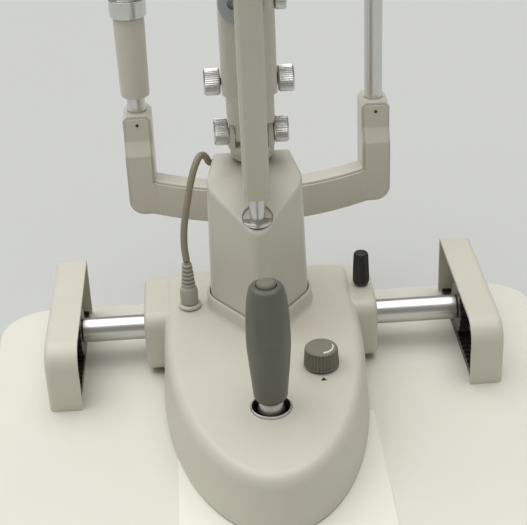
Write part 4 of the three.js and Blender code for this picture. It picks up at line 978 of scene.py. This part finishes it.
def knob_pair(node, z, inner, outer):
    """Two knurled knobs on one dark cross shaft."""
    for name, side in SIDES.items():
        low, high = 0, outer - inner
        profile = filleted([(AXIS, low), (9.6, low), (11, low + 1.4), (11, high - 1.4), (9.6, high),
                            (8.2, high), (7.6, high - 0.8), (AXIS, high - 0.8)], 0.3, 3, False)
        knob = turned("knob", profile, ribs=(40, 0.55, low + 1.2, high - 1.2), axis="x")
        if side < 0:
            knob.data.transform(Matrix.Rotation(math.pi, 4, "Z"))
        knob.data.transform(Matrix.Translation((side * inner, TOWER_Y, z)))
        settle(knob, CARRIAGE, node, name=f"{node}_{name}", stands_for=name == "left")
    shaft = join(rod("shaft", "x", 3, (TOWER_Y, z), -inner - 2, inner + 2, 48),
                 rod("collar", "x", 5, (TOWER_Y, z), -inner - 1, 0.2 - inner, 48, 0.3),
                 rod("collar", "x", 5, (TOWER_Y, z), inner - 0.2, inner + 1, 48, 0.3))
    settle(shaft, CARRIAGE, node, name=node + "_shaft", slot="dark_steel", stands_for=False)


def lamp_tower():
    y = TOWER_Y
    foot = prism("foot", rounded_rectangle(-19.5, 19.5, y - 17, y + 17, 6), "z", 225.5, 252, 1.2)
    box = prism("box", rounded_rectangle(-22.5, 22.5, y - 17, y + 17, 6), "z", 250, 350, 1.2)
    lug = block("lug", -13.3, 13.3, y - 8, y + 8, 206.9, 227, 1)
    tools = [
        prism("hollow", rounded_rectangle(-15, 15, y - 12, y + 12, 4), "z", 276, 355, 0),
        rod("bore", "x", 3.3, (y, 213.4), -30, 30, 48),
        rod("bore", "x", 3.3, (y, 258), -30, 30, 48),
        rod("hole", "y", 7, (0, 292), y, y + 30, 64),
    ]
    settle(cut(join(box, foot, lug), *tools), CARRIAGE, "lamp_tower", bevel=0.5)
    disc = turned("disc", filleted([(AXIS, -9), (17.6, -9), (18.4, -8.2), (18.4, 0), (AXIS, 0)], 0.5, 4,
                                   False), 128, ribs=(60, 0.35, -7.5, -0.8), axis="y")
    disc = cut(disc, rod("eye", "y", 5, (-6, 0), -20, -5, 64), rod("mark", "y", 1.6, (0, 13), -20, -7.5, 32))
    disc.data.transform(Matrix.Translation((-4, y - 17.3, 331)))
    settle(disc, CARRIAGE, "aperture_dial", bevel=0.3)
    wheel_profile = filleted([(AXIS, 0), (12.2, 0), (13, 0.8), (13, 8.2), (12.2, 9), (AXIS, 9)], 0.4, 3,
                             False)
    wheel = turned("wheel", wheel_profile, ribs=(40, 0.6, 0.9, 8.1), axis="x", at=(22.8, y - 4, 331))
    settle(wheel, CARRIAGE, "filter_wheel")


def prism_head():
    y, top = TOWER_Y, 350
    flange_plate = prism("flange", rounded_rectangle(-20, 20, y - 15, y + 15, 5), "z", top + GAP, top + 8,
                         0.8)
    tube = turned("tube", filleted([(AXIS, 357), (15, 357), (15, 390), (12, 396), (AXIS, 396)], 1.2, 5,
                                   False), 96, at=(0, y, 0))
    holder_outline = filleted([(y - 9, 390), (y + 9, 390), (y + 9, 418), (y - 6, 452), (y - 9, 452)], 1.5, 5)
    holder = prism("holder", holder_outline, "x", -8, 8, 0.8)
    settle(join(tube, flange_plate, holder), CARRIAGE, "prism_head", bevel=0.4)


# ---- microscope ----------------------------------------------------------------------------------------
def microscope_arm():
    half, front, back, chamfer = 10.5, BAR_Y - 13, BAR_Y + 13, 3
    section = [(-half + chamfer, front), (half - chamfer, front), (half, front + chamfer), (half, back),
               (-half, back), (-half, front + chamfer)]
    bar = prism("bar", filleted(section, 0.6, 3), "z", 182.5, 372, 1.0)
    hub = rod("hub", "z", 18, (0, SWING_Y), 187.3, 195, 96, 0.8)
    link = block("link", -8, 8, back - 2, SWING_Y, 187.5, 195, 0.6)
    gusset = prism("gusset", [(back - 2, 187.5), (back + 9, 187.5), (back - 2, 214)], "x", -6, 6, 0.3)
    seat = prism("seat", rounded_rectangle(-24, 24, BAR_Y - 60, BAR_Y + 20, 6), "z", 371, 386, 1.5)
    bore = rod("bore", "z", 7.3, (0, SWING_Y), 180, 210, 64)
    settle(cut(join(bar, hub, link, gusset, seat), bore), CARRIAGE, "microscope_arm", bevel=0.5)


def microscope_body():
    low, high, front, back = OPTICS_Z - 31, OPTICS_Z + 31, -72, -152
    rings = []
    for k in range(7):
        t = math.pi / 2 * k / 6
        rings.append((back + 4 * (1 - math.cos(t)), 4 * (1 - math.sin(t))))
    for k in range(7):
        t = math.pi / 2 * k / 6
        rings.append((front - 5 * (1 - math.sin(t)), 5 * (1 - math.cos(t))))
    body = loft("body", [[(x, y, z) for x, z in rounded_rectangle(-38 + p, 38 - p, low + p, high - p,
        12 - p / 2, 10)] for y, p in rings])
    saddle = prism("saddle", rounded_rectangle(-20, 20, back + 34, front - 4, 4), "z", 386.3, low + 2, 0.8)
    objective = turned("objective", filleted([(AXIS, front - 2), (24, front - 2), (24, front + 16),
                                              (AXIS, front + 16)], 1.2, 5, False), axis="y",
                       at=(0, 0, OPTICS_Z))
    seat = rod("seat", "y", 20, (0, OPTICS_Z), front + 11, front + 20, 96)
    drum_bore = rod("bore", "x", 5, ((front + back) / 2, OPTICS_Z), -60, 60, 48)
    settle(cut(join(body, saddle, objective), seat, drum_bore), CARRIAGE, "microscope_body", bevel=0.5)
    lens(CARRIAGE, "microscope_body", "objective_lens", 19.6, (0, front + 11.2, OPTICS_Z), 1)
    for name, side in SIDES.items():
        profile = filleted([(AXIS, 0), (18, 0), (19, 1), (19, 11), (18, 12), (12, 12), (11, 11), (AXIS, 11)],
                           0.4, 3, False)
        knob = turned("drum", profile, ribs=(30, 1.0, 0.9, 11.1), axis="x")
        if side < 0:
            knob.data.transform(Matrix.Rotation(math.pi, 4, "Z"))
        knob.data.transform(Matrix.Translation((side * 38.6, (front + back) / 2, OPTICS_Z)))
        settle(knob, CARRIAGE, "magnification_drum", name="magnification_drum_" + name,
               stands_for=name == "left")
    shaft = rod("shaft", "x", 4.5, ((front + back) / 2, OPTICS_Z), -40.6, 40.6, 48)
    settle(shaft, CARRIAGE, "magnification_drum", name="magnification_shaft", slot="dark_steel",
           stands_for=False)


def lens(origin, node, name, radius, at, facing):
    """Coated glass that bulges along +Y (facing 1) or -Y (facing -1)."""
    steps = 10
    profile = [(AXIS, 0)] + [(radius * math.cos(t), 2.5 * math.sin(t) + 0.4)
                             for t in (math.pi / 2 * k / steps for k in range(steps))] + [(AXIS, 2.9)]
    glass = turned(name, profile, 64, axis="y")
    if facing < 0:
        glass.data.transform(Matrix.Rotation(math.pi, 4, "X"))
    glass.data.transform(Matrix.Translation(at))
    piece = settle(glass, origin, node, name=name, slot="bulb_glass", stands_for=False)
    piece.data.materials[0] = LENS


def eyepieces():
    back = -152.3
    for name, side in SIDES.items():
        px, ex = side * 16, side * 33
        outline = hull_outline([(px, OPTICS_Z, 15), (ex, OPTICS_Z, 17)], 0, 96)
        housing = prism("housing", outline, "y", back - 34, back, 1.5, 4)
        tube = turned("tube", filleted([(AXIS, back - 74), (15.5, back - 74), (15.5, back - 40),
                                        (14.9, back - 39), (14.9, back - 37), (15.5, back - 36),
                                        (15.5, back - 32), (AXIS, back - 32)], 0.4, 4, False), axis="y",
                      at=(ex, 0, OPTICS_Z))
        spigot = rod("spigot", "y", 12.5, (ex, OPTICS_Z), back - 84, back - 72, 96)
        settle(join(housing, tube, spigot), CARRIAGE, "eyetube_" + name, bevel=0.4)
        profile = filleted([(12.8, 0), (18, 0), (18, 12), (16.5, 12.6), (17.5, 26), (14.5, 27), (8, 20),
                            (AXIS, 20), (AXIS, 10.4), (12.8, 10.4)], 0.8, 5)
        cup = turned("cup", profile, ribs=(36, 0.7, 0.9, 11.2), closed=True)
        cup.data.transform(Matrix.Rotation(math.pi / 2, 4, "X"))
        cup.data.transform(Matrix.Translation((ex, back - 74 - GAP, OPTICS_Z)))
        settle(cup, CARRIAGE, "eyepiece_" + name)
        lens(CARRIAGE, "eyepiece_" + name, "eye_lens_" + name, 8.5, (ex, back - 74.3 - 19.8, OPTICS_Z), -1)


# ---- scene ---------------------------------------------------------------------------------------------
def carried_over():
    """CAD nodes that stay as they are get their finish and slightly softened edges."""
    replaced = {node for piece in bpy.data.objects for node in piece.get("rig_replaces", [])}
    for name, node in frame["nodes"].items():
        if name not in replaced:
            dress(node, SLOT_OF[name])
            soften(node, 0.15)


def studio():
    bpy.context.scene.view_settings.view_transform = "Standard"
    floor_size, floor_drop = 12, 0.0005
    floor = mesh_object("floor", [(-floor_size, -floor_size, 0), (floor_size, -floor_size, 0),
                                  (floor_size, floor_size, 0), (-floor_size, floor_size, 0)], [(0, 1, 2, 3)])
    floor.data.transform(Matrix.Translation((0, 0, -floor_drop)))
    floor.data.materials.append(surface("floor", (0.555, 0.565, 0.545), 0.9, mottle=0.01, mottle_scale=1))
    world = bpy.data.worlds.new("studio")
    world.use_nodes = True
    world.node_tree.nodes["Background"].inputs["Color"].default_value = (1.0, 0.99, 0.97, 1)
    world.node_tree.nodes["Background"].inputs["Strength"].default_value = 0.28
    bpy.context.scene.world = world
    sky = bpy.data.lights.new("overhead", "SUN")
    sky.energy = 2.7
    sky.angle = math.radians(75)
    lamp = bpy.data.objects.new("overhead", sky)
    bpy.context.scene.collection.objects.link(lamp)
    lamp.rotation_euler = (math.radians(-6), math.radians(-8), 0)


table()
for side_name, side_sign in SIDES.items():
    rail_cover(side_name, side_sign)
axle()
pedestal()
rest_yoke()
rest_columns()
chin_rest()
forehead_rest()
fixation()
base_housing()
column_collar()
joystick()
brightness_knob()
clamp_knob()
cable_plug()
column()
lamp_arm()
knob_pair("tilt_knobs", 213.4, 18.8, 31)
knob_pair("slit_knobs", 258, 23.4, 36.8)
lamp_tower()
prism_head()
microscope_arm()
microscope_body()
eyepieces()
carried_over()
studio()
